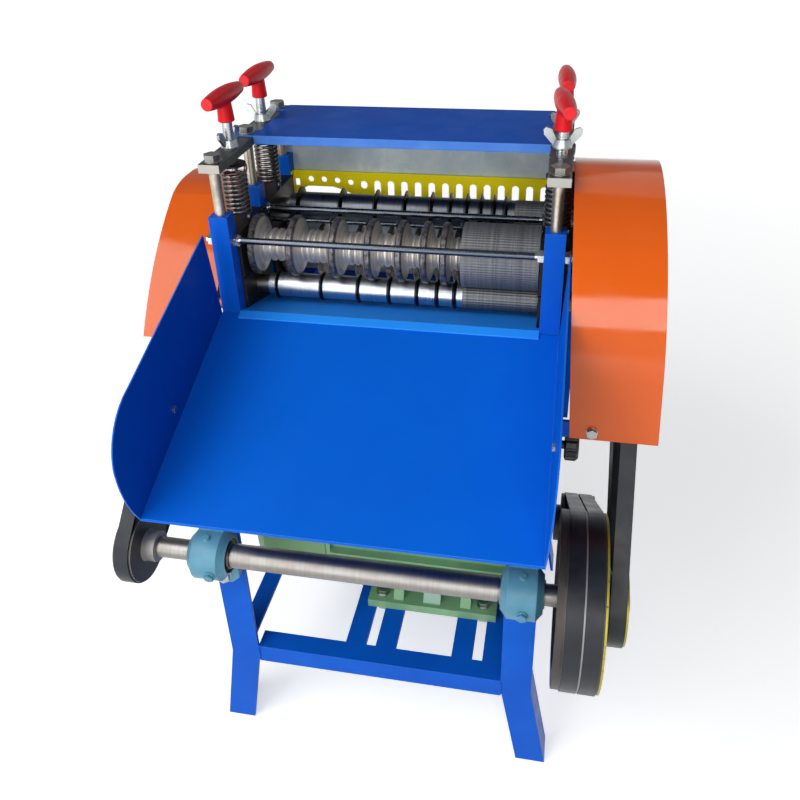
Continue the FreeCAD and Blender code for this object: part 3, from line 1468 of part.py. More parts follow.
def fasteners():
    """Bolts and nuts of the pillow blocks and motor feet, and the screws of the sheets."""
    solids = []
    up = V(0, 0, 1)
    back = V(0, 1, 0)
    block_face_y = front_leg_y - pillow_base_thickness
    block_bolt = pillow_base_thickness + angle_wall + bolt_reach
    leg_back_y = front_leg_y + angle_wall
    block_bore = pillow_bolt_radius + running_clearance
    head = (*large_hex, washer_thickness)
    for side in (-1, 1):
        for step in (-1, 1):
            x = side * pillow_half
            z = jackshaft_z + step * pillow_bolt_pitch / 2
            solids.append(hex_bolt(V(x, block_face_y, z), -back, pillow_bolt_radius, block_bolt, *head))
            solids.append(nut(V(x, leg_back_y, z), back, block_bore, *large_nut))
    foot_top = low_rail_top_z + foot_thickness
    foot_bolt = foot_thickness + motor_rail_thickness + bolt_reach
    for side_x in (-1, 1):
        for side_y in (-1, 1):
            x = motor_x + side_x * foot_bolt_x / 2
            y = motor_y + side_y * foot_bolt_y / 2
            solids.append(hex_bolt(V(x, y, foot_top), up, foot_bolt_radius, foot_bolt, *head))
            solids.append(nut(V(x, y, low_rail_top_z - motor_rail_thickness), -up,
                              foot_bolt_radius + running_clearance, *large_nut))
    cover_y = front_row_y - right_cover_radius
    solids.append(hex_bolt(V(cover_screw_x, cover_y, cover_screw_z), -back, cover_screw_radius,
                           sheet + lug_thickness + screw_reach, *small_hex))
    for side, y, z in tray_screw_places:
        place = V(side * frame_outer_half, y, z)
        screw = hex_bolt(place, V(-side, 0, 0), tray_screw_radius, sheet + screw_reach, *tray_hex)
        solids.append(lean_right(screw) if side > 0 else screw)
    panel_y = frame_back_y + panel_thickness
    for side in (-1, 1):
        for z in (panel_screw_z, low_panel_screw_z):
            solids.append(hex_bolt(V(side * bar_middle_half, panel_y, z), back, panel_screw_radius,
                                   panel_thickness + panel_screw_depth, *small_hex))
    return solids


def tray_clamp_knob():
    """Ribbed hand knob on a stud through the top side rail."""
    ring = []
    for i in range(knob_ribs):
        turn = 2 * math.pi * i / knob_ribs
        for depth, shift in knob_rib_turns:
            radius = knob_radius - knob_rib_depth * depth
            ring.append((knob_y + radius * math.cos(turn + shift), knob_z + radius * math.sin(turn + shift)))
    end = knob_x + knob_length
    body = prism_x(ring, knob_x, end)
    corner = knob_corner
    envelope = turned_x([(knob_x, 0), (knob_x, knob_radius - corner), (knob_x + corner / 2, knob_radius),
                         (end - corner, knob_radius), (end, knob_radius - corner), (end, 0)], knob_y, knob_z)
    seat = leg_outer_half - angle_wall
    neck = cyl_x(seat, knob_x, knob_y, knob_z, knob_neck_radius)
    stud = cyl_x(seat - angle_wall - knob_stud_proud, seat, knob_y, knob_z, knob_stud_radius)
    return fused([body.common(envelope), neck, stud])


def main():
    os.makedirs("parts", exist_ok=True)
    knob_hole = cyl_x(leg_outer_half - 2 * angle_wall - 1, leg_outer_half, knob_y, knob_z,
                      knob_stud_radius + running_clearance)
    save("legs", *legs())
    save("stand_frame", *[rail.cut(knob_hole) for rail in stand_frame()])
    save("side_frame_left", side_frame(-1))
    save("side_frame_right", side_frame(1))
    save("bridge_bars", *bridge_bars())
    save("bridge_bolts", *bridge_bolts())
    save("tie_rods", *tie_rods())
    save("top_cover", top_cover())
    save("feed_comb", feed_comb())
    save("rear_panel", *rear_panel())
    save("front_apron", front_apron())
    save("discharge_tray", discharge_tray())
    save("belt_cover_left", belt_cover_left())
    save("belt_cover_right", belt_cover_right())
    save("fasteners", *fasteners())
    save("tray_clamp_knob", tray_clamp_knob())
    save("pillow_blocks", pillow_block(-1), pillow_block(1), pillow_bearing(-1), pillow_bearing(1))
    save("jackshaft", jackshaft())
    save("jackshaft_pulleys", *jackshaft_pulleys())
    save("motor_housing", *motor_housing())
    save("motor_fan_cover", motor_fan_cover())
    save("motor_terminal_box", motor_terminal_box())
    save("motor_shaft", *motor_shaft())
    save("motor_pulley", motor_pulley())

    jack = (jackshaft_y, jackshaft_z)
    motor = (motor_y, motor_z)
    double_belt = double_pulley_radius + belt_proud
    motor_belt = motor_pulley_radius + belt_proud
    small_belt = small_pulley_radius + belt_proud
    large_belt = large_pulley_radius + belt_proud
    belts = []
    for shift in (-groove_pitch / 2, groove_pitch / 2):
        belts.append(belt_loop(double_pulley_x + shift, jack, double_belt, motor, motor_belt))
    save("motor_belts", *belts)
    save("right_belt", belt_loop(right_belt_x, jack, small_belt, (front_row_y, lower_axis_z), large_belt))
    save("left_belt", belt_loop(left_belt_x, jack, small_belt, (rear_row_y, lower_axis_z), large_belt))

    right_end = right_belt_x + small_pulley_width / 2 + pulley_overhang
    left_end = left_belt_x - small_pulley_width / 2 - pulley_overhang
    front_blade = (front_blade_radius, front_blade_thickness, front_blade_bevel)
    rear_blade = (rear_blade_radius, rear_blade_thickness, rear_blade_radius - rear_sleeve_radius)
    blades, sleeves = blade_stack(front_row_y, lower_axis_z, front_channels + 1, front_blade,
                                  front_drum_start, front_low_drum_radius, sleeve_radius)
    save("front_lower_shaft", cyl_x(-shaft_end, right_end, front_row_y, lower_axis_z, shaft_radius))
    save("front_slitting_blades", *blades)
    save("front_lower_sleeves", *sleeves)
    save("right_large_pulley", large_pulley(right_belt_x, front_row_y, large_hub_reach, 0))
    save("front_upper_shaft", cyl_x(-shaft_end, shaft_end, front_row_y, front_up_axis_z, shaft_radius))
    save("front_grooved_wheels", *wheel_stack(front_row_y, front_up_axis_z, front_channels + 1, wheel_radius,
                                              front_drum_start, front_up_drum_radius))
    rear_count = len(channel_pitches) + 1
    save("rear_lower_shaft", cyl_x(left_end, shaft_end, rear_row_y, lower_axis_z, shaft_radius))
    save("rear_grooved_wheels", *wheel_stack(rear_row_y, lower_axis_z, rear_count, rear_wheel_radius,
                                             rear_drum_start, rear_low_drum_radius))
    save("left_large_pulley", large_pulley(left_belt_x, rear_row_y, 0, large_hub_reach))
    blades, sleeves = blade_stack(rear_row_y, rear_up_axis_z, rear_count, rear_blade,
                                  rear_drum_start, rear_up_drum_radius, rear_sleeve_radius)
    save("rear_upper_shaft", cyl_x(-shaft_end, shaft_end, rear_row_y, rear_up_axis_z, shaft_radius))
    save("rear_slitting_blades", *blades)
    save("rear_upper_sleeves", *sleeves)

    lower_top = window_floor_z + lower_block_height
    lower_blocks = row_blocks(front_row_y, post_y[0], post_y[1], window_floor_z, lower_top, lower_axis_z)
    lower_blocks += row_blocks(rear_row_y, post_y[1], post_y[2], window_floor_z, lower_top, lower_axis_z)
    save("lower_bearing_blocks", *lower_blocks)
    front_low = front_up_axis_z - carriage_below_axis
    rear_low = rear_up_axis_z - carriage_below_axis
    save("front_carriages", *row_blocks(front_row_y, post_y[0], post_y[1], front_low, carriage_top_z,
                                        front_up_axis_z))
    save("rear_carriages", *row_blocks(rear_row_y, post_y[1], post_y[2], rear_low, carriage_top_z,
                                       rear_up_axis_z))

    for row, y in (("front", front_row_y), ("rear", rear_row_y)):
        springs = [coil_spring(side * bar_middle_half, y, carriage_top_z, seat_bottom_z) for side in (-1, 1)]
        save("%s_springs" % row, *springs)
    for name, (side, y) in screw_places.items():
        x = side * bar_middle_half
        save("spring_seat_%s" % name, spring_seat(x, y))
        save("pressure_screw_%s" % name, pressure_screw(x, y))
        save("tee_grip_%s" % name, grip_at(x, y, grip_turn[name]))
        save("wing_nut_%s" % name, wing_nut(x, y, bar_top_z + wing_nut_lift[name], wing_nut_turn[name]))


main()
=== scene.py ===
import math

import bmesh
import bpy
from mathutils import Matrix, Vector


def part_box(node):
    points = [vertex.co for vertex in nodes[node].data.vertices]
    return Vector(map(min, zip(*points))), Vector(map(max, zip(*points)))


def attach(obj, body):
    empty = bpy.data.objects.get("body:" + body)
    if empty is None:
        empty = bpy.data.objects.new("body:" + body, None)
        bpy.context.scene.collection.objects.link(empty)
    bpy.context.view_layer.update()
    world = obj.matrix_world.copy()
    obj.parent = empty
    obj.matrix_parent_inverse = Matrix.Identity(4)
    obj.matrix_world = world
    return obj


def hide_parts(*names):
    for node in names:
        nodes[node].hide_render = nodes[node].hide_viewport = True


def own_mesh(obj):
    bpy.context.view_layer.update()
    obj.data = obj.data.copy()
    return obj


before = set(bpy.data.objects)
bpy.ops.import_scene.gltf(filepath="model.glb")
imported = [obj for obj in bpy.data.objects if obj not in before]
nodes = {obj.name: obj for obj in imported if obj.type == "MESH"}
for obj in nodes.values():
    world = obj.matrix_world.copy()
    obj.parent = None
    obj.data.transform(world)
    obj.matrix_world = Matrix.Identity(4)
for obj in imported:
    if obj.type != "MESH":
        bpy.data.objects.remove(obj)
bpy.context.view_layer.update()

MM = 0.001

# Camera, fitted to the photograph's view
CAMERA_PLACE = Vector((187.38, -800.13, 1041.77)) * MM
CAMERA_AZIMUTH = 11.56
CAMERA_ELEVATION = 29.82
CAMERA_ROLL = -1.75
FOCAL_PIXELS = 810.56
FRAME_PIXELS = 800
CENTRE_PIXEL = (409.23, 327.24)
SENSOR_MM = 36.0

# Places on the machine that the materials need, in metres
FRONT_DRUM_START = 0.0794
REAR_DRUM_START = 0.1306
MOTOR_MIDDLE = 0.0516
BAR_TOP = 0.7617
NUTS_BEYOND = 0.168
WHEEL_RIM = 0.0335
BEARING_BORE = 0.0203
PULLEY_FACE = 0.0265
DOUBLE_PULLEY_EDGE = (0.2574, 0.2600)
DOUBLE_PULLEY_LEFT_EDGE = 0.2165
DOUBLE_PULLEY_START = 0.2
DOUBLE_PULLEY_FLANGE = 0.078
DOUBLE_PULLEY_RIM = 0.074
MIDDLE_LAND_HALF = 0.0016
SMALL_PULLEY_FLANGE = 0.0024
LEFT_PULLEY_START = -0.2
LEFT_PULLEY_HUB = 0.019
SIDE_MIDDLE = -0.0049
# Corner beyond which the screen behind the right belt cover is painted near black as painted shade
SCREEN_PLACE = (0.1955, 0.2265, 0.5255)
GRIP_END = 0.0412
MIDDLE_RIB_HALF = 0.0122
MOTOR_FRONT_END = -0.02
MIDDLE_RIB_HEIGHTS = (0.1655, 0.2)
DISC_GAP = 0.006
BLADE_GAP_SHADE_REACH = 0.0026
THREAD_PITCH = 1.75 * MM
WEAVE_ACROSS = 4200.0
WEAVE_ALONG = 3000.0


def camera_axes():
    """Right, up and back of the camera."""
    a = math.radians(CAMERA_AZIMUTH)
    e = math.radians(CAMERA_ELEVATION)
    t = math.radians(CAMERA_ROLL)
    back = Vector((math.sin(a) * math.cos(e), -math.cos(a) * math.cos(e), math.sin(e)))
    right = Vector((math.cos(a), math.sin(a), 0))
    up = back.cross(right)
    return right * math.cos(t) + up * math.sin(t), up * math.cos(t) - right * math.sin(t), back


def make_camera():
    right, up, back = camera_axes()
    data = bpy.data.cameras.new("camera")
    data.sensor_width = SENSOR_MM
    data.lens = SENSOR_MM * FOCAL_PIXELS / FRAME_PIXELS
    data.shift_x = (FRAME_PIXELS / 2 - CENTRE_PIXEL[0]) / FRAME_PIXELS
    data.shift_y = (CENTRE_PIXEL[1] - FRAME_PIXELS / 2) / FRAME_PIXELS
    data.clip_start = 0.05
    data.clip_end = 50
    camera = bpy.data.objects.new("camera", data)
    bpy.context.scene.collection.objects.link(camera)
    axes = Matrix((right, up, back)).transposed().to_4x4()
    camera.matrix_world = Matrix.Translation(CAMERA_PLACE) @ axes
    bpy.context.scene.camera = camera


def place_seen_at(name, pixel):
    """Point and outward direction of a node's surface that the photograph shows at a pixel."""
    right, up, back = camera_axes()
    across = pixel[0] - CENTRE_PIXEL[0]
    down = pixel[1] - CENTRE_PIXEL[1]
    ray = (right * across - up * down - back * FOCAL_PIXELS).normalized()
    return nodes[name].ray_cast(CAMERA_PLACE, ray)[1:3]


# Material building blocks

def srgb(r, g, b):
    """Linear colour of an 8-bit display colour."""
    def linear(v):
        v = v / 255
        return v / 12.92 if v <= 0.04045 else ((v + 0.055) / 1.055) ** 2.4
    return (linear(r), linear(g), linear(b), 1.0)


def axis_of(name):
    """(y, z) of the axis along X that a turned node lies round."""
    low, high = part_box(name)
    return ((low.y + high.y) / 2, (low.z + high.z) / 2)


class Shader:
    """One node material, with short calls for the nodes that the materials share."""

    def __init__(self, name):
        self.material = bpy.data.materials.new(name)
        self.material.use_nodes = True
        self.tree = self.material.node_tree
        self.bsdf = self.tree.nodes["Principled BSDF"]
        self.place = self.tree.nodes.new("ShaderNodeTexCoord").outputs["Object"]
        split = self.tree.nodes.new("ShaderNodeSeparateXYZ")
        self.link(self.place, split.inputs["Vector"])
        self.x, self.y, self.z = split.outputs

    def link(self, source, target):
        self.tree.links.new(source, target)

    def set(self, **sockets):
        for name, value in sockets.items():
            self.bsdf.inputs[name.replace("_", " ")].default_value = value

    def stretched(self, scale):
        node = self.tree.nodes.new("ShaderNodeMapping")
        node.inputs["Scale"].default_value = scale
        self.link(self.place, node.inputs["Vector"])
        return node.outputs["Vector"]

    def noise(self, scale, detail=3.0, rough=0.55, place=None):
        node = self.tree.nodes.new("ShaderNodeTexNoise")
        node.inputs["Scale"].default_value = scale
        node.inputs["Detail"].default_value = detail
        node.inputs["Roughness"].default_value = rough
        self.link(place or self.place, node.inputs["Vector"])
        return node.outputs["Fac"]

    def cells(self, scale):
        node = self.tree.nodes.new("ShaderNodeTexVoronoi")
        node.inputs["Scale"].default_value = scale
        self.link(self.place, node.inputs["Vector"])
        split = self.tree.nodes.new("ShaderNodeSeparateColor")
        self.link(node.outputs["Color"], split.inputs["Color"])
        return split.outputs["Red"], split.outputs["Green"]

    def span(self, value, low, high, out_low=0.0, out_high=1.0):
        node = self.tree.nodes.new("ShaderNodeMapRange")
        node.inputs["From Min"].default_value = low
        node.inputs["From Max"].default_value = high
        node.inputs["To Min"].default_value = out_low
        node.inputs["To Max"].default_value = out_high
        self.link(value, node.inputs["Value"])
        return node.outputs["Result"]

    def math(self, operation, a, b=None):
        node = self.tree.nodes.new("ShaderNodeMath")
        node.operation = operation
        for socket, value in zip(node.inputs, (a, b)):
            if value is None:
                continue
            if isinstance(value, (int, float)):
                socket.default_value = value
            else:
                self.link(value, socket)
        return node.outputs["Value"]

    def both(self, *masks):
        whole = masks[0]
        for mask in masks[1:]:
            whole = self.math("MULTIPLY", whole, mask)
        return whole

    def over(self, value, limit):
        return self.math("GREATER_THAN", value, limit)

    def under(self, value, limit):
        return self.math("LESS_THAN", value, limit)

    def away(self, a, b, centre):
        """Distance of the two coordinates from a centre line."""
        da = self.math("SUBTRACT", a, centre[0])
        db = self.math("SUBTRACT", b, centre[1])
        total = self.math("ADD", self.math("MULTIPLY", da, da), self.math("MULTIPLY", db, db))
        return self.math("SQRT", total)

    def mix(self, factor, a, b):
        node = self.tree.nodes.new("ShaderNodeMix")
        node.data_type = "RGBA"
        for name, value in (("Factor", factor), ("A", a), ("B", b)):
            if isinstance(value, (tuple, float, int)):
                node.inputs[name].default_value = value
            else:
                self.link(value, node.inputs[name])
        return node.outputs["Result"]

    def edges(self, radius):
        """About 1 along the edges where two faces meet, and 0 on open faces."""
        bevel = self.tree.nodes.new("ShaderNodeBevel")
        bevel.samples = 4
        bevel.inputs["Radius"].default_value = radius
        geometry = self.tree.nodes.new("ShaderNodeNewGeometry")
        dot = self.tree.nodes.new("ShaderNodeVectorMath")
        dot.operation = "DOT_PRODUCT"
        self.link(bevel.outputs["Normal"], dot.inputs[0])
        self.link(geometry.outputs["Normal"], dot.inputs[1])
        return self.span(dot.outputs["Value"], 0.995, 0.8)

    def facing(self, axis, low, high):
        """0 to 1 as the surface normal's part along an axis goes from low to high."""
        geometry = self.tree.nodes.new("ShaderNodeNewGeometry")
        dot = self.tree.nodes.new("ShaderNodeVectorMath")
        dot.operation = "DOT_PRODUCT"
        self.link(geometry.outputs["Normal"], dot.inputs[0])
        dot.inputs[1].default_value = axis
        return self.span(dot.outputs["Value"], low, high)

    def bump(self, height, strength, distance, edge_radius=0.0):
        node = self.tree.nodes.new("ShaderNodeBump")
        node.inputs["Strength"].default_value = strength
        node.inputs["Distance"].default_value = distance
        self.link(height, node.inputs["Height"])
        if edge_radius > 0:
            bevel = self.tree.nodes.new("ShaderNodeBevel")
            bevel.samples = 4
            bevel.inputs["Radius"].default_value = edge_radius
            self.link(bevel.outputs["Normal"], node.inputs["Normal"])
        self.link(node.outputs["Normal"], self.bsdf.inputs["Normal"])

    def finish(self, tone, rough):
        self.link(tone, self.bsdf.inputs["Base Color"])
        self.link(rough, self.bsdf.inputs["Roughness"])
        return self.material


def painted(name, colour, dark, rough=0.3, gloss=0.5, edge_shading=None, peel=0.1, shaded_wall_tone=None):
    """Sprayed enamel: soft orange peel, cloudy tone, rubbed lines, an edge tone that is a painted highlight
    where paler and a painted shade where darker, and a painted shade on walls facing +X.
    """
    s = Shader(name)
    tone = s.mix(s.span(s.noise(7.0, 4.0), 0.35, 0.7, 0.0, 0.7), colour, dark)
    rubbed = s.span(s.noise(60.0, 5.0, 0.7, s.stretched((1.0, 6.0, 1.0))), 0.66, 0.76, 0.0, 0.12)
    tone = s.mix(rubbed, tone, tuple(min(1.0, c * 1.4 + 0.03) for c in colour[:3]) + (1.0,))
    if shaded_wall_tone:
        # Painted shade: walls facing +X take a darker tone.
        tone = s.mix(s.facing((1, 0, 0), 0.5, 0.85), tone, shaded_wall_tone)
    # Edge tone: a painted highlight where paler than the paint, a painted shade where darker.
    if edge_shading:
        tone = s.mix(s.math("MULTIPLY", s.edges(0.0007), 0.6), tone, edge_shading)
    s.bump(s.noise(900.0, 2.0, 0.5), peel, 0.0004, 0.0007)
    s.set(Specular_IOR_Level=gloss)
    return s.finish(tone, s.span(s.noise(35.0, 5.0), 0.3, 0.7, rough - 0.05, rough + 0.08))


def cover_paint(name):
    """Blue enamel of the top cover, whose folded front lip is painted pale in patches where it faces the
    front, as painted light, with a painted highlight along its edges.
    """
    s = Shader(name)
    tone = s.mix(s.span(s.noise(7.0, 4.0), 0.35, 0.7), srgb(2, 84, 190), srgb(2, 76, 178))
    # Painted light: faces turned to the front are paler in patches.
    lip = s.math("MULTIPLY", s.facing((0, -1, 0), 0.3, 0.9), s.span(s.noise(30.0, 4.0), 0.3, 0.7, 0.45, 0.7))
    tone = s.mix(lip, tone, srgb(104, 156, 232))
    # Painted highlight along the edges.
    tone = s.mix(s.math("MULTIPLY", s.edges(0.0009), 0.6), tone, srgb(116, 164, 236))
    s.bump(s.noise(900.0, 2.0, 0.5), 0.06, 0.0004, 0.0012)
    s.set(Specular_IOR_Level=0.03)
    return s.finish(tone, s.span(s.noise(35.0, 5.0), 0.3, 0.7, 0.34, 0.46))


def frame_paint(name):
    """Blue enamel of the welded frame, worn at its edges, with a painted highlight along them; the screen
    behind the right cover is painted near black as painted shade.
    """
    s = Shader(name)
    tone = s.mix(s.span(s.noise(9.0, 4.0), 0.35, 0.7), srgb(6, 93, 204), srgb(4, 82, 190))
    # Painted highlight: a pale line along the edges.
    tone = s.mix(s.math("MULTIPLY", s.edges(0.0008), 0.5), tone, srgb(96, 150, 226))
    worn = s.both(s.edges(0.0014), s.span(s.noise(230.0, 4.0, 0.7), 0.57, 0.63))
    tone = s.mix(s.math("MULTIPLY", worn, 0.8), tone, srgb(128, 128, 126))
    # Painted shade: the screen behind the right belt cover is made near black.
    side, back, low = SCREEN_PLACE
    shaded_screen = s.both(s.over(s.x, side), s.over(s.y, back), s.over(s.z, low))
    tone = s.mix(shaded_screen, tone, srgb(28, 28, 34))
    s.bump(s.noise(700.0, 2.0, 0.5), 0.14, 0.0004, 0.0009)
    s.set(Specular_IOR_Level=0.1)
    return s.finish(tone, s.span(s.noise(40.0, 5.0), 0.3, 0.7, 0.28, 0.42))


def cast_paint(name, colour, dark, grain=0.5, steel_axis=None, pale_rib=False):
    """Enamel over a sand casting; the bare bearing shows inside its bore round an axis along X."""
    s = Shader(name)
    pits = s.noise(700.0, 3.0, 0.6)
    tone = s.mix(s.span(s.noise(18.0, 4.0), 0.3, 0.7), colour, dark)
    pit_tone = tuple(c * 0.4 for c in dark[:3]) + (1.0,)
    tone = s.mix(s.span(pits, 0.36, 0.28, 0.0, 0.5), tone, pit_tone)
    # Painted highlight along the edges.
    pale = tuple(min(1.0, c * 1.5 + 0.04) for c in colour[:3]) + (1.0,)
    tone = s.mix(s.math("MULTIPLY", s.edges(0.0012), 0.5), tone, pale)
    if pale_rib:
        middle = s.under(s.math("ABSOLUTE", s.math("SUBTRACT", s.x, MOTOR_MIDDLE)), MIDDLE_RIB_HALF)
        foot, top = MIDDLE_RIB_HEIGHTS
        rib = s.both(middle, s.under(s.y, MOTOR_FRONT_END), s.over(s.z, foot), s.under(s.z, top))
        tone = s.mix(rib, tone, srgb(150, 186, 166))
    if steel_axis:
        inside = s.under(s.away(s.y, s.z, steel_axis), BEARING_BORE)
        tone = s.mix(inside, tone, srgb(132, 132, 130))
        s.link(inside, s.bsdf.inputs["Metallic"])
    s.bump(s.noise(420.0, 4.0, 0.65), grain, 0.0006, 0.0012)
    s.set(Specular_IOR_Level=0.45)
    return s.finish(tone, s.span(pits, 0.3, 0.7, 0.5, 0.3))


def disc_places(name):
    """Middle of each round disc of a node along X."""
    spots = sorted(v.co.x for v in nodes[name].data.vertices)
    groups = [[spots[0]]]
    for x in spots[1:]:
        if x - groups[-1][-1] > DISC_GAP:
            groups.append([])
        groups[-1].append(x)
    return [(group[0] + group[-1]) / 2 for group in groups]


def roller_steel(name, axis, drum_start, body, dark, rim=0.0, rough=0.26, blue_reflection=0.0, discs=(), metal=1.0):
    """Turned rollers with oily rings and a fluted drum; rims are duller, and sleeves may carry a painted blue
    reflection on their upper half.
    """
    s = Shader(name)
    rings = s.noise(1.0, 4.0, 0.7, s.stretched((1100.0, 5.0, 5.0)))
    oil = s.noise(26.0, 5.0, 0.6)
    tone = s.mix(s.span(rings, 0.25, 0.75), dark, body)
    tone = s.mix(s.span(oil, 0.5, 0.78, 0.0, 0.35), tone, srgb(92, 86, 80))
    if rim > 0:
        edge = s.over(s.away(s.y, s.z, axis), rim)
        spots = s.span(s.noise(150.0, 4.0, 0.7), 0.35, 0.6)
        tone = s.mix(edge, tone, s.mix(spots, srgb(62, 58, 60), srgb(128, 124, 122)))
    if blue_reflection > 0:
        # Painted reflection: blue streaks on the upper half stand for the blue paint above seen in the steel.
        upper = s.over(s.math("SUBTRACT", s.z, axis[1]), 0.004)
        stain_and_reflection = s.span(s.noise(55.0, 3.0, 0.6, s.stretched((1.0, 0.6, 0.6))), 0.52, 0.66, 0.0, blue_reflection)
        tone = s.mix(s.both(upper, stain_and_reflection), tone, srgb(26, 108, 168))
    # Painted shade: a dark band on the sleeves beside each blade stands for the shaded gap there.
    for place in discs:
        beside = s.under(s.math("ABSOLUTE", s.math("SUBTRACT", s.x, place)), BLADE_GAP_SHADE_REACH)
        tone = s.mix(beside, tone, srgb(34, 36, 40))
    drum = s.over(s.x, drum_start)
    streaks = s.noise(1.0, 4.0, 0.75, s.stretched((330.0, 4.0, 4.0)))
    fine = s.noise(1500.0, 2.0, 0.6)
    knurl = s.mix(s.span(streaks, 0.3, 0.7), srgb(96, 100, 104), srgb(142, 142, 140))
    knurl = s.mix(s.span(fine, 0.42, 0.6, 0.0, 0.4), knurl, srgb(72, 74, 80))
    smooth = s.span(s.math("ADD", rings, oil), 0.6, 1.4, rough - 0.08, rough + 0.14)
    s.bump(s.mix(drum, rings, fine), 0.3, 0.00025, 0.0004)
    s.set(Metallic=metal)
    drum_rough = s.math("MAXIMUM", smooth, s.math("MULTIPLY", drum, 0.6))
    return s.finish(s.mix(drum, tone, knurl), drum_rough)


def shaft_steel(name, colour, dark):
    """Ground shaft: faint rings, a thin brown film of oil, small scratches."""
    s = Shader(name)
    rings = s.noise(1.0, 3.0, 0.6, s.stretched((500.0, 3.0, 3.0)))
    film = s.noise(22.0, 5.0, 0.6)
    tone = s.mix(s.span(rings, 0.2, 0.8, 0.0, 0.5), colour, dark)
    tone = s.mix(s.span(film, 0.45, 0.75, 0.0, 0.5), tone, srgb(122, 108, 96))
    s.bump(rings, 0.05, 0.0001, 0.0005)
    s.set(Metallic=1.0)
    return s.finish(tone, s.span(film, 0.3, 0.7, 0.32, 0.44))


def rough_steel(name, colour, dark, rough=0.4, scale=300.0, spots=0.25, stain_and_reflection=(92, 74, 58)):
    """Plain steel with mottled oxide, oil and soft edges, which carry a painted highlight."""
    s = Shader(name)
    cloud = s.noise(scale * 0.12, 5.0, 0.65)
    grain = s.noise(scale * 3, 3.0, 0.6)
    tone = s.mix(s.span(cloud, 0.32, 0.68), dark, colour)
    tone = s.mix(s.span(grain, 0.6, 0.75, 0.0, spots), tone, srgb(*stain_and_reflection))
    # Painted highlight along the edges.
    pale = tuple(min(1.0, c * 2.0 + 0.06) for c in colour[:3]) + (1.0,)
    tone = s.mix(s.math("MULTIPLY", s.edges(0.0007), 0.5), tone, pale)
    s.bump(grain, 0.15, 0.0002, 0.0005)
    s.set(Metallic=1.0)
    return s.finish(tone, s.span(cloud, 0.3, 0.7, rough - 0.08, rough + 0.12))


def dark_casting(name):
    """Oiled black bearing blocks and carriages, brown where grease has gathered dust."""
    s = Shader(name)
    cloud = s.noise(34.0, 5.0, 0.65)
    grain = s.noise(800.0, 3.0, 0.6)
    tone = s.mix(s.span(cloud, 0.35, 0.7), srgb(26, 25, 27), srgb(46, 38, 34))
    tone = s.mix(s.span(grain, 0.6, 0.75, 0.0, 0.3), tone, srgb(70, 58, 48))
    # Painted highlight along the edges.
    tone = s.mix(s.math("MULTIPLY", s.edges(0.0008), 0.4), tone, srgb(110, 108, 106))
    s.bump(grain, 0.2, 0.0003, 0.0007)
    s.set(Metallic=0.2, Specular_IOR_Level=0.25)
    return s.finish(tone, s.span(cloud, 0.3, 0.7, 0.4, 0.55))


def bar_steel(name, low_y):
    """Black oxide bars whose sawn front ends are bare and bright."""
    s = Shader(name)
    cloud = s.noise(40.0, 5.0, 0.65)
    tone = s.mix(s.span(cloud, 0.32, 0.68), srgb(44, 44, 48), srgb(84, 84, 88))
    # Painted highlight along the edges.
    tone = s.mix(s.math("MULTIPLY", s.edges(0.0008), 0.5), tone, srgb(150, 150, 150))
    cut = s.under(s.y, low_y + 0.0006)
    tone = s.mix(cut, tone, srgb(168, 166, 158))
    s.bump(s.noise(900.0, 3.0), 0.15, 0.0002, 0.0006)
    s.set(Metallic=0.5)
    return s.finish(tone, s.span(cloud, 0.3, 0.7, 0.34, 0.5))


def rod_steel(name):
    """Dark drawn rods, with bright zinc nuts outside the posts' inner faces."""
    s = Shader(name)
    cloud = s.noise(120.0, 4.0, 0.6)
    lines = s.noise(1.0, 3.0, 0.6, s.stretched((4.0, 900.0, 900.0)))
    rod = s.mix(s.span(lines, 0.3, 0.7), srgb(66, 72, 80), srgb(100, 106, 114))
    nut = s.mix(s.span(cloud, 0.3, 0.7), srgb(176, 180, 180), srgb(216, 220, 220))
    side = s.over(s.math("ABSOLUTE", s.math("SUBTRACT", s.x, SIDE_MIDDLE)), NUTS_BEYOND)
    s.bump(lines, 0.08, 0.0001, 0.0004)
    s.set(Metallic=1.0)
    return s.finish(s.mix(side, rod, nut), s.span(cloud, 0.3, 0.7, 0.2, 0.32))


def column_steel(name):
    """Spacer columns of warm drawn tube, and dark bolt heads on top of them."""
    s = Shader(name)
    cloud = s.noise(60.0, 5.0, 0.65)
    tube = s.mix(s.span(cloud, 0.32, 0.68), srgb(196, 190, 172), srgb(150, 142, 126))
    tube = s.mix(s.span(s.noise(210.0, 4.0, 0.7), 0.58, 0.72, 0.0, 0.5), tube, srgb(120, 84, 60))
    head = s.mix(s.span(cloud, 0.3, 0.7), srgb(96, 96, 94), srgb(148, 146, 140))
    tone = s.mix(s.over(s.z, BAR_TOP), tube, head)
    # Painted highlight along the edges.
    tone = s.mix(s.math("MULTIPLY", s.edges(0.0008), 0.5), tone, srgb(220, 218, 210))
    s.bump(s.noise(700.0, 3.0), 0.12, 0.0002, 0.0006)
    s.set(Metallic=0.9)
    return s.finish(tone, s.span(cloud, 0.3, 0.7, 0.3, 0.44))


def zinc_thread(name):
    """Zinc-plated screw with a thread cut along Z, its valleys painted darker as painted shade."""
    s = Shader(name)
    wave = s.math("SINE", s.math("MULTIPLY", s.z, 2 * math.pi / THREAD_PITCH))
    cloud = s.noise(90.0, 4.0)
    # Painted shade: thread valleys darker, crests lighter.
    tone = s.mix(s.span(wave, -1.0, 0.3), srgb(160, 164, 166), srgb(194, 200, 202))
    tone = s.mix(s.span(cloud, 0.5, 0.8, 0.0, 0.4), tone, srgb(124, 118, 106))
    s.bump(wave, 0.1, 0.0002)
    s.set(Metallic=1.0)
    return s.finish(tone, s.span(cloud, 0.3, 0.7, 0.2, 0.32))


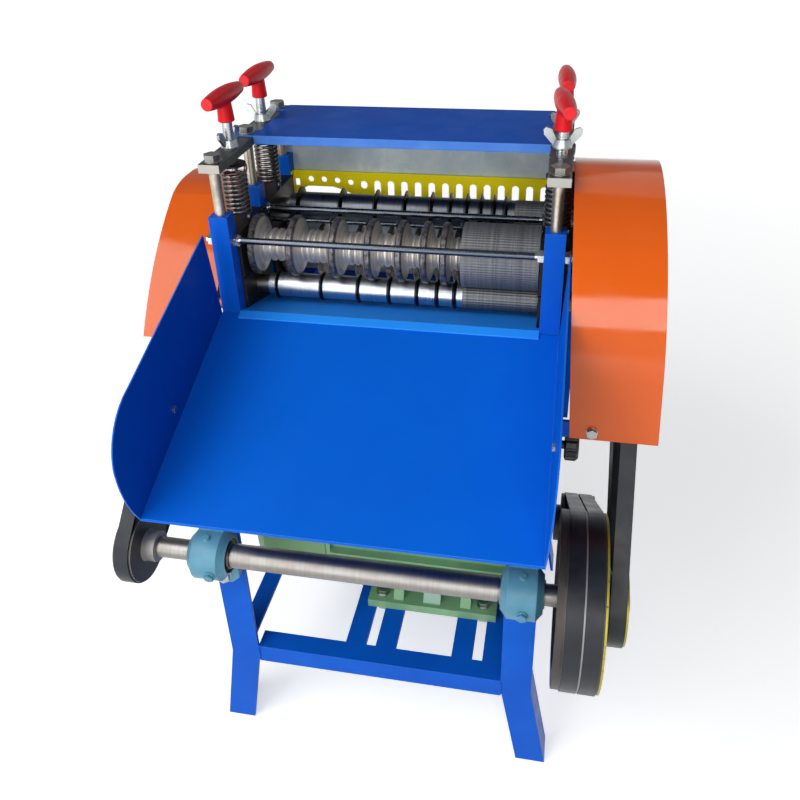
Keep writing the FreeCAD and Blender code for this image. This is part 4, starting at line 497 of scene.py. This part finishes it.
def galvanised(name):
    s = Shader(name)
    red, green = s.cells(95.0)
    soft = s.noise(14.0, 4.0)
    tone = s.mix(s.span(red, 0.0, 1.0, 0.0, 0.5), srgb(196, 210, 214), srgb(222, 230, 228))
    tone = s.mix(s.span(soft, 0.42, 0.7, 0.0, 0.6), tone, srgb(150, 170, 182))
    s.bump(soft, 0.08, 0.001, 0.0006)
    s.set(Metallic=0.25)
    return s.finish(tone, s.span(green, 0.0, 1.0, 0.36, 0.5))


def moulded(name, colour, dark, rough=0.25, grain=0.05, gloss=0.5, bright_end=None, centre=(0, 0)):
    """Injection-moulded plastic: slight tone drift, small pits, and paler end faces on a grip."""
    s = Shader(name)
    tone = s.mix(s.span(s.noise(40.0, 4.0), 0.35, 0.7, 0.0, 0.6), colour, dark)
    if bright_end:
        tone = s.mix(s.over(s.away(s.x, s.y, centre), GRIP_END), tone, bright_end)
    s.bump(s.noise(600.0, 2.0), grain, 0.0003, 0.0012)
    s.set(Specular_IOR_Level=gloss)
    return s.finish(tone, s.span(s.noise(120.0, 4.0), 0.3, 0.7, rough - 0.05, rough + 0.1))


def belt_rubber(name):
    """V-belt: woven cloth face, dusty sides, and a lighter bluish tone that is partly dust and partly a
    painted sheen.
    """
    s = Shader(name)
    across = s.math("SINE", s.math("MULTIPLY", s.x, WEAVE_ACROSS))
    along = s.math("SINE", s.math("MULTIPLY", s.math("ADD", s.y, s.z), WEAVE_ALONG))
    weave = s.math("MULTIPLY", across, along)
    dust = s.noise(45.0, 5.0, 0.65)
    # Dust with a painted sheen: lighter, bluish patches.
    tone = s.mix(s.span(dust, 0.35, 0.75), srgb(14, 17, 22), srgb(30, 36, 46))
    tone = s.mix(s.span(weave, 0.2, 1.0, 0.0, 0.2), tone, srgb(48, 56, 68))
    s.bump(weave, 0.1, 0.0003, 0.0008)
    s.set(Specular_IOR_Level=0.35)
    return s.finish(tone, s.span(dust, 0.3, 0.7, 0.3, 0.5))


def cast_pulley(name, axis=None, edge_x=None, belt_middle=None):
    """Machined cast iron, dark on the faces, bright on worn lips, with a painted highlight along every edge;
    the outer flanges carry yellow paint.
    """
    s = Shader(name)
    cloud = s.noise(30.0, 5.0, 0.6)
    grain = s.noise(900.0, 3.0, 0.6)
    tone = s.mix(s.span(cloud, 0.3, 0.7), srgb(40, 38, 40), srgb(74, 68, 66))
    tone = s.mix(s.span(grain, 0.55, 0.75, 0.0, 0.3), tone, srgb(104, 90, 74))
    # Painted highlight along the edges, standing also for worn lips.
    tone = s.mix(s.math("MULTIPLY", s.edges(0.0012), 0.7), tone, srgb(196, 194, 190))
    if axis:
        radius = s.away(s.y, s.z, axis)
        patchy = s.span(s.noise(120.0, 4.0, 0.7), 0.30, 0.42)
        double = s.both(s.over(s.x, DOUBLE_PULLEY_EDGE[0]), s.under(s.x, DOUBLE_PULLEY_EDGE[1]),
                        s.over(radius, DOUBLE_PULLEY_FLANGE))
        small = s.both(s.over(s.x, edge_x - SMALL_PULLEY_FLANGE), s.over(radius, PULLEY_FACE))
        tone = s.mix(s.both(s.math("MAXIMUM", double, small), patchy), tone, srgb(172, 160, 54))
        land = s.under(s.math("ABSOLUTE", s.math("SUBTRACT", s.x, belt_middle)), MIDDLE_LAND_HALF)
        tone = s.mix(s.both(land, s.over(radius, DOUBLE_PULLEY_FLANGE)), tone, srgb(150, 152, 156))
        rim = s.both(s.under(s.x, DOUBLE_PULLEY_LEFT_EDGE), s.over(s.x, DOUBLE_PULLEY_START),
                     s.over(radius, DOUBLE_PULLEY_RIM))
        tone = s.mix(rim, tone, srgb(66, 60, 58))
        collar = s.both(s.under(s.x, LEFT_PULLEY_START), s.under(radius, LEFT_PULLEY_HUB))
        tone = s.mix(collar, tone, srgb(150, 148, 146))
    s.bump(grain, 0.2, 0.0003, 0.0006)
    s.set(Metallic=0.5)
    return s.finish(tone, s.span(cloud, 0.3, 0.7, 0.36, 0.52))


def spring_wire(name):
    """Lacquered spring wire, dark, with the brown lacquer rubbed off here and there."""
    s = Shader(name)
    worn = s.noise(110.0, 4.0, 0.65)
    tone = s.mix(s.span(worn, 0.58, 0.7), srgb(112, 110, 108), srgb(150, 100, 84))
    s.bump(worn, 0.1, 0.0002)
    s.set(Metallic=0.95)
    return s.finish(tone, s.span(worn, 0.3, 0.7, 0.22, 0.36))


def make_materials():
    jackshaft = axis_of("jackshaft")
    small_pulley_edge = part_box("jackshaft_pulleys")[1].x
    belt_low, belt_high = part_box("motor_belts")
    belt_middle = (belt_low.x + belt_high.x) / 2
    pale_blue = srgb(110, 160, 232)
    looks = {
        # Tray: its pale edges are a painted highlight, and its walls facing +X carry a painted shade.
        "blue": painted("blue_paint", srgb(3, 100, 216), srgb(2, 92, 206), 0.4, 0.1, pale_blue,
                        shaded_wall_tone=srgb(2, 74, 176)),
        "blue_cover": cover_paint("blue_cover_paint"),
        "blue_frame": frame_paint("blue_frame_paint"),
        # Orange covers: their darker edges are a painted shade.
        "orange": painted("orange_paint", srgb(226, 96, 18), srgb(216, 88, 14), 0.1, 0.4,
                          srgb(150, 70, 30), 0.03),
        # Apron: the blue sheet paint made brighter as painted light, with pale edges as a painted highlight.
        "apron": painted("apron_paint_painted_light", srgb(40, 150, 255), srgb(32, 140, 248), 0.4, 0.1, pale_blue),
        # Comb: its pale edges are a painted highlight.
        "yellow": painted("yellow_paint", srgb(255, 238, 18), srgb(244, 220, 14), 0.4, 0.2,
                          srgb(250, 240, 140)),
        "teal": cast_paint("teal_cast_paint", srgb(96, 156, 178), srgb(70, 130, 156), 0.5, jackshaft),
        "green": cast_paint("green_cast_paint", srgb(134, 180, 136), srgb(114, 160, 116), 0.3, None, True),
        "green_sheet": painted("green_sheet_paint", srgb(128, 170, 120), srgb(112, 152, 104), 0.4, 0.4),
        "front_wheels": roller_steel("front_wheel_steel", axis_of("front_grooved_wheels"), FRONT_DRUM_START,
                                     srgb(226, 220, 210), srgb(176, 170, 162), WHEEL_RIM, 0.46,
                                     metal=0.85),
        # Rear wheels: the front wheels' steel made darker, a painted shade for their place under the top
        # cover.
        "rear_wheels": roller_steel("rear_wheel_steel_shaded", axis_of("rear_grooved_wheels"), REAR_DRUM_START,
                                    srgb(140, 138, 134), srgb(96, 94, 92), WHEEL_RIM, 0.46,
                                    metal=0.85),
        # Front sleeves: 0.8 is the strength of their painted blue reflection.
        "front_sleeves": roller_steel("front_sleeve_steel", axis_of("front_lower_sleeves"), FRONT_DRUM_START,
                                      srgb(204, 208, 212), srgb(170, 174, 180), 0.0, 0.3, 0.8,
                                      disc_places("front_slitting_blades")),
        # Rear sleeves: the front sleeves' steel made darker, a painted shade for their place further in.
        "rear_sleeves": roller_steel("rear_sleeve_steel_shaded", axis_of("rear_upper_sleeves"), REAR_DRUM_START,
                                     srgb(120, 124, 130), srgb(92, 96, 102), 0.0, 0.32, 0.0,
                                     disc_places("rear_slitting_blades")),
        "shaft": shaft_steel("shaft_steel", srgb(150, 148, 144), srgb(114, 110, 106)),
        "blade": rough_steel("blade_steel", srgb(52, 56, 62), srgb(30, 32, 38), 0.3, 300.0, 0.1),
        "black_steel": dark_casting("black_oxide_steel"),
        "bars": bar_steel("bar_steel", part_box("bridge_bars")[0].y),
        "rod": rod_steel("rod_steel"),
        "zinc": rough_steel("zinc_plate", srgb(188, 194, 192), srgb(142, 148, 148), 0.3, 300.0, 0.15),
        "column": column_steel("column_steel"),
        "thread": zinc_thread("zinc_thread"),
        "galvanised": galvanised("galvanised_sheet"),
        "black_plastic": moulded("black_plastic", srgb(24, 24, 26), srgb(14, 14, 15), 0.4, 0.15),
        "belt": belt_rubber("belt_rubber"),
        "cast": cast_pulley("cast_pulley_iron", jackshaft, small_pulley_edge, belt_middle),
        "cast_plain": cast_pulley("cast_pulley_plain"),
        "spring": spring_wire("spring_wire"),
    }
    for corner in CORNERS:
        low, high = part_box("pressure_screw_" + corner)
        centre = ((low.x + high.x) / 2, (low.y + high.y) / 2)
        looks["red_" + corner] = moulded("red_plastic_" + corner, srgb(222, 16, 28), srgb(196, 12, 22),
                                         0.36, 0.02, 0.2, srgb(232, 46, 54), centre)
    return looks


CORNERS = ("fl", "rl", "fr", "rr")
NODE_LOOKS = {
    "blue": ["discharge_tray"],
    "blue_cover": ["top_cover"],
    "apron": ["front_apron"],
    "blue_frame": ["legs", "stand_frame", "side_frame_left", "side_frame_right"],
    "orange": ["belt_cover_left", "belt_cover_right"],
    "yellow": ["feed_comb"],
    "teal": ["pillow_blocks"],
    "green": ["motor_housing", "motor_terminal_box"],
    "green_sheet": ["motor_fan_cover"],
    "shaft": ["jackshaft", "motor_shaft", "front_lower_shaft", "rear_lower_shaft", "front_upper_shaft",
              "rear_upper_shaft"],
    "front_wheels": ["front_grooved_wheels"],
    "rear_wheels": ["rear_grooved_wheels"],
    "front_sleeves": ["front_lower_sleeves"],
    "rear_sleeves": ["rear_upper_sleeves"],
    "blade": ["front_slitting_blades", "rear_slitting_blades"],
    "black_steel": ["lower_bearing_blocks", "front_carriages", "rear_carriages"]
                   + ["spring_seat_" + corner for corner in CORNERS],
    "bars": ["bridge_bars"],
    "rod": ["tie_rods"],
    "zinc": ["fasteners"] + ["wing_nut_" + corner for corner in CORNERS],
    "column": ["bridge_bolts"],
    "thread": ["pressure_screw_" + corner for corner in CORNERS],
    "galvanised": ["rear_panel"],
    "black_plastic": ["tray_clamp_knob"],
    "belt": ["motor_belts", "right_belt", "left_belt"],
    "cast": ["jackshaft_pulleys"],
    "cast_plain": ["motor_pulley", "right_large_pulley", "left_large_pulley"],
}


def dress_nodes(looks):
    wanted = dict(NODE_LOOKS)
    for corner in CORNERS:
        wanted["red_" + corner] = ["tee_grip_" + corner]
    for look, names in wanted.items():
        for name in names:
            slots = nodes[name].data.materials
            slots.clear()
            slots.append(looks[look])


def smooth_by_angle(obj, degrees=32):
    """Shade curved faces smooth and keep real edges sharp."""
    modifier = obj.modifiers.new("weighted", "WEIGHTED_NORMAL")
    modifier.keep_sharp = True
    mesh = obj.data
    work = bmesh.new()
    work.from_mesh(mesh)
    limit = math.radians(degrees)
    for edge in work.edges:
        edge.smooth = len(edge.link_faces) == 2 and edge.calc_face_angle(0) < limit
    for face in work.faces:
        face.smooth = True
    work.to_mesh(mesh)
    work.free()


# Floor and light

FLOOR_SIZE = 14.0
FLOOR_LIFT = (0.52, 0.95)
FLOOR_NEAR = 0.9
FLOOR_FAR = 4.0
AMBIENT = 0.45


def seen_directly(tree):
    """1 for camera, glossy and transmission rays."""
    paths = tree.nodes.new("ShaderNodeLightPath")
    total = paths.outputs["Is Camera Ray"]
    for name in ("Is Glossy Ray", "Is Transmission Ray"):
        node = tree.nodes.new("ShaderNodeMath")
        node.operation = "MAXIMUM"
        tree.links.new(total, node.inputs[0])
        tree.links.new(paths.outputs[name], node.inputs[1])
        total = node.outputs["Value"]
    return total


def make_stage():
    """Pale floor that reads as white in the view and keeps a soft shadow."""
    size = FLOOR_SIZE
    mesh = bpy.data.meshes.new("floor")
    corners = [(-size, -size, 0), (size, -size, 0), (size, size, 0), (-size, size, 0)]
    mesh.from_pydata(corners, [], [(0, 1, 2, 3)])
    floor = bpy.data.objects.new("floor", mesh)
    bpy.context.scene.collection.objects.link(floor)
    s = Shader("floor_pale")
    s.set(Base_Color=(0.93, 0.93, 0.93, 1.0), Roughness=0.9, Specular_IOR_Level=0.1,
          Emission_Color=(1.0, 1.0, 1.0, 1.0))
    distance = s.away(s.x, s.y, (0.0, 0.0))
    rise = s.span(distance, FLOOR_NEAR, FLOOR_FAR, FLOOR_LIFT[0], FLOOR_LIFT[1])
    lift = s.math("MULTIPLY", seen_directly(s.tree), rise)
    s.link(lift, s.bsdf.inputs["Emission Strength"])
    mesh.materials.append(s.material)


def make_world():
    """Studio sky: pale at the horizon and dim overhead; it lights the object less than it shows."""
    world = bpy.data.worlds.new("studio")
    world.use_nodes = True
    tree = world.node_tree
    background = tree.nodes["Background"]
    direction = tree.nodes.new("ShaderNodeTexCoord").outputs["Generated"]
    split = tree.nodes.new("ShaderNodeSeparateXYZ")
    tree.links.new(direction, split.inputs["Vector"])
    ramp = tree.nodes.new("ShaderNodeValToRGB")
    ramp.color_ramp.elements[0].position = 0.06
    ramp.color_ramp.elements[0].color = (0.97, 0.98, 1.0, 1.0)
    ramp.color_ramp.elements[1].position = 0.8
    ramp.color_ramp.elements[1].color = (0.2, 0.21, 0.23, 1.0)
    middle = ramp.color_ramp.elements.new(0.3)
    middle.color = (0.27, 0.28, 0.3, 1.0)
    tree.links.new(split.outputs["Z"], ramp.inputs["Fac"])
    tree.links.new(ramp.outputs["Color"], background.inputs["Color"])
    strength = tree.nodes.new("ShaderNodeMapRange")
    strength.inputs["To Min"].default_value = AMBIENT
    strength.inputs["To Max"].default_value = 1.0
    tree.links.new(seen_directly(tree), strength.inputs["Value"])
    tree.links.new(strength.outputs["Result"], background.inputs["Strength"])
    bpy.context.scene.world = world


# Lamps as (name, place, width, height, watts)
LAMPS = (
    ("door", (-0.85, -3.0, 1.05), 1.7, 2.1, 32.0),
    ("window", (0.75, -3.0, 1.84), 1.3, 1.3, 28.0),
    ("key", (-1.7, -1.9, 2.7), 2.2, 2.2, 62.0),
    ("fill", (1.2, 2.4, 3.4), 2.2, 2.2, 10.0),
)
LAMP_TARGET = Vector((0, 0, 0.5))


def make_light():
    for name, place, width, height, power in LAMPS:
        data = bpy.data.lights.new(name, "AREA")
        data.shape = "RECTANGLE"
        data.size = width
        data.size_y = height
        data.energy = power
        lamp = bpy.data.objects.new(name, data)
        lamp.location = place
        lamp.rotation_mode = "QUATERNION"
        lamp.rotation_quaternion = (LAMP_TARGET - Vector(place)).to_track_quat("-Z", "Y")
        lamp.visible_camera = False
        bpy.context.scene.collection.objects.link(lamp)


def mesh_from(work, name):
    """Mesh of a finished bmesh, which is freed."""
    mesh = bpy.data.meshes.new(name)
    work.to_mesh(mesh)
    work.free()
    return mesh


def skin(work, rings):
    """Walls between neighbouring rings of vertices, and a flat face at both ends."""
    for a, b in zip(rings[:-1], rings[1:]):
        count = len(a)
        for k in range(count):
            work.faces.new((a[k], a[(k + 1) % count], b[(k + 1) % count], b[k]))
    work.faces.new(list(reversed(rings[0])))
    work.faces.new(rings[-1])


def link_object(name, mesh, material, body):
    obj = bpy.data.objects.new(name, mesh)
    bpy.context.scene.collection.objects.link(obj)
    mesh.materials.append(material)
    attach(obj, body)
    return obj


# Springs: each one is a wound wire; on the machine it shortens as its carriage rises

SPRING_TURNS = 9
SPRING_WIRE = 2.2 * MM
SPRING_BEND = 4.4 * MM


def spring_mesh(name, x, y, mean, z0, z1):
    """Round wire along a helix with upright ends, as a tube of rings."""
    points = []
    steps = SPRING_TURNS * 40
    low = z0 + 2 * SPRING_WIRE + SPRING_BEND
    high = z1 - 2 * SPRING_WIRE - SPRING_BEND
    for i in range(steps + 1):
        angle = 2 * math.pi * SPRING_TURNS * i / steps
        points.append(Vector((x + mean * math.cos(angle), y + mean * math.sin(angle),
                              low + (high - low) * i / steps)))
    start = bend_to_upright(points[0], points[1] - points[0], -1, z0)
    end = bend_to_upright(points[-1], points[-1] - points[-2], 1, z1)
    path = list(reversed(start)) + points + end
    return tube(name, path, [SPRING_WIRE] * len(path), 14)


def bend_to_upright(place, direction, sign, z_end):
    """Points that turn from the helix to the vertical and run to z_end."""
    flat = Vector((direction.x, direction.y, 0)).normalized() * sign
    up = Vector((0, 0, sign * SPRING_BEND))
    points = []
    for i in range(1, 7):
        angle = math.pi / 2 * i / 6
        points.append(place + up + flat * (SPRING_BEND * math.sin(angle)) - up * math.cos(angle))
    last = points[-1]
    points.append(Vector((last.x, last.y, z_end)))
    return points


def tube(name, path, radii, sides):
    """Closed tube of round rings along a path, with flat ends."""
    work = bmesh.new()
    normal = Vector((0, 0, 1))
    rings = []
    for i, point in enumerate(path):
        ahead = path[min(i + 1, len(path) - 1)]
        behind = path[max(i - 1, 0)]
        tangent = (ahead - behind).normalized()
        if i == 0 and abs(tangent.z) > 0.9:
            normal = Vector((1, 0, 0))
        normal = (normal - tangent * normal.dot(tangent)).normalized()
        other = tangent.cross(normal)
        ring = []
        for k in range(sides):
            angle = 2 * math.pi * k / sides
            out = normal * math.cos(angle) + other * math.sin(angle)
            ring.append(work.verts.new(point + out * radii[i]))
        rings.append(ring)
    skin(work, rings)
    for face in work.faces:
        face.smooth = len(face.verts) == 4
    return mesh_from(work, name)


def make_springs(looks):
    for row in ("front", "rear"):
        low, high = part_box(row + "_springs")
        y = (low.y + high.y) / 2
        middle = (low.x + high.x) / 2
        mean = (high.y - low.y) / 2 - SPRING_WIRE
        reach = (high.x - low.x) / 2 - mean - SPRING_WIRE
        for side, word in ((-1, "left"), (1, "right")):
            name = "%s_spring_%s" % (row, word)
            mesh = spring_mesh(name, middle + side * reach, y, mean, low.z, high.z)
            spring = link_object(name, mesh, looks["spring"], "root")
            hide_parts(row + "_springs")
            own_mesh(spring)


# Weld beads where the rails of the stand meet its legs

WELD_RADIUS = 1.9 * MM
WELD_RIPPLE = 2.4 * MM
WELD_INSET = 2 * MM
LEG_OUTER_HALF = 197.2 * MM
FRONT_LEG_WIDTH = 38 * MM
REAR_LEG_WIDTH = 45 * MM
LOW_RAIL_TALL = 28 * MM
TOP_RAIL_TALL = 38 * MM


def weld_bead(name, start, end, looks):
    """A painted bead: overlapping round ripples that swell and sink along a seam."""
    length = (end - start).length
    steps = max(8, int(length / WELD_RIPPLE) * 6)
    path = []
    radii = []
    for i in range(steps + 1):
        share = i / steps
        path.append(start.lerp(end, share))
        ripple = abs(math.sin(math.pi * share * length / WELD_RIPPLE))
        taper = min(1.0, 6 * share + 0.35, 6 * (1 - share) + 0.35)
        radii.append(WELD_RADIUS * taper * (0.78 + 0.22 * ripple))
    link_object(name, tube(name, path, radii, 10), looks["blue_frame"], "root")


def make_welds(looks):
    rail_low, rail_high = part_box("stand_frame")
    low_rail = (rail_low.z, rail_low.z + LOW_RAIL_TALL)
    top_rail = (rail_high.z - TOP_RAIL_TALL, rail_high.z)
    middle = (rail_low.x + rail_high.x) / 2
    rows = (("front", rail_low.y, FRONT_LEG_WIDTH), ("rear", rail_high.y, REAR_LEG_WIDTH))
    for row, y, width in rows:
        reach = LEG_OUTER_HALF - width
        for side, word in ((-1, "left"), (1, "right")):
            x = middle + side * reach
            for level, (z0, z1) in (("low", low_rail), ("top", top_rail)):
                name = "weld_%s_%s_%s" % (level, row, word)
                start = Vector((x, y, z0 + WELD_INSET))
                end = Vector((x, y, z1 - WELD_INSET))
                weld_bead(name, start, end, looks)


# Hexagon heads low on the pillow blocks, where the photograph shows them

PILLOW_BOLT_PIXELS = {"left": (209.6, 576.0), "right": (521.9, 616.0)}
BOLT_ACROSS = 10.5 * MM
BOLT_TALL = 4.6 * MM
WASHER_REACH = 6.6 * MM
WASHER_THICK = 1.2 * MM
WASHER_SIDES = 24
CHAMFER_SHARE = 0.84
CHAMFER_TALL = 0.7 * MM


def hex_bolt(name, place, normal, look):
    """Washer and chamfered hexagon head, seated on a surface."""
    work = bmesh.new()
    corner = BOLT_ACROSS / math.sqrt(3)
    washer = [(WASHER_REACH, -WASHER_THICK), (WASHER_REACH, WASHER_THICK)]
    head = [(corner, WASHER_THICK), (corner, BOLT_TALL), (corner * CHAMFER_SHARE, BOLT_TALL + CHAMFER_TALL)]
    for profile, sides in ((washer, WASHER_SIDES), (head, 6)):
        loops = []
        for radius, height in profile:
            loop = []
            for k in range(sides):
                angle = 2 * math.pi * k / sides
                loop.append(work.verts.new((radius * math.cos(angle), radius * math.sin(angle), height)))
            loops.append(loop)
        skin(work, loops)
    turn = normal.to_track_quat("Z", "X").to_matrix().to_4x4()
    work.transform(Matrix.Translation(place) @ turn)
    link_object(name, mesh_from(work, name), look, "root")


def make_pillow_bolts(looks):
    for side, pixel in PILLOW_BOLT_PIXELS.items():
        place, normal = place_seen_at("pillow_blocks", pixel)
        hex_bolt("pillow_bolt_" + side, place, normal, looks["teal"])


# Blue strip below the screen of the right side frame

SCREEN_LOWER = ((0.1955, 0.2285, 0.300), (0.2191, 0.2315, 0.527))


def make_lower_screen(looks):
    work = bmesh.new()
    bmesh.ops.create_cube(work, size=1.0)
    low, high = (Vector(c) for c in SCREEN_LOWER)
    for vertex in work.verts:
        vertex.co = Vector((low[i] if vertex.co[i] < 0 else high[i] for i in range(3)))
    link_object("screen_lower", mesh_from(work, "screen_lower"), looks["blue_frame"], "root")


make_camera()
looks = make_materials()
dress_nodes(looks)
for node in nodes.values():
    smooth_by_angle(node)
make_springs(looks)
make_welds(looks)
make_pillow_bolts(looks)
make_lower_screen(looks)
make_stage()
make_world()
make_light()
bpy.context.scene.view_settings.view_transform = "Standard"
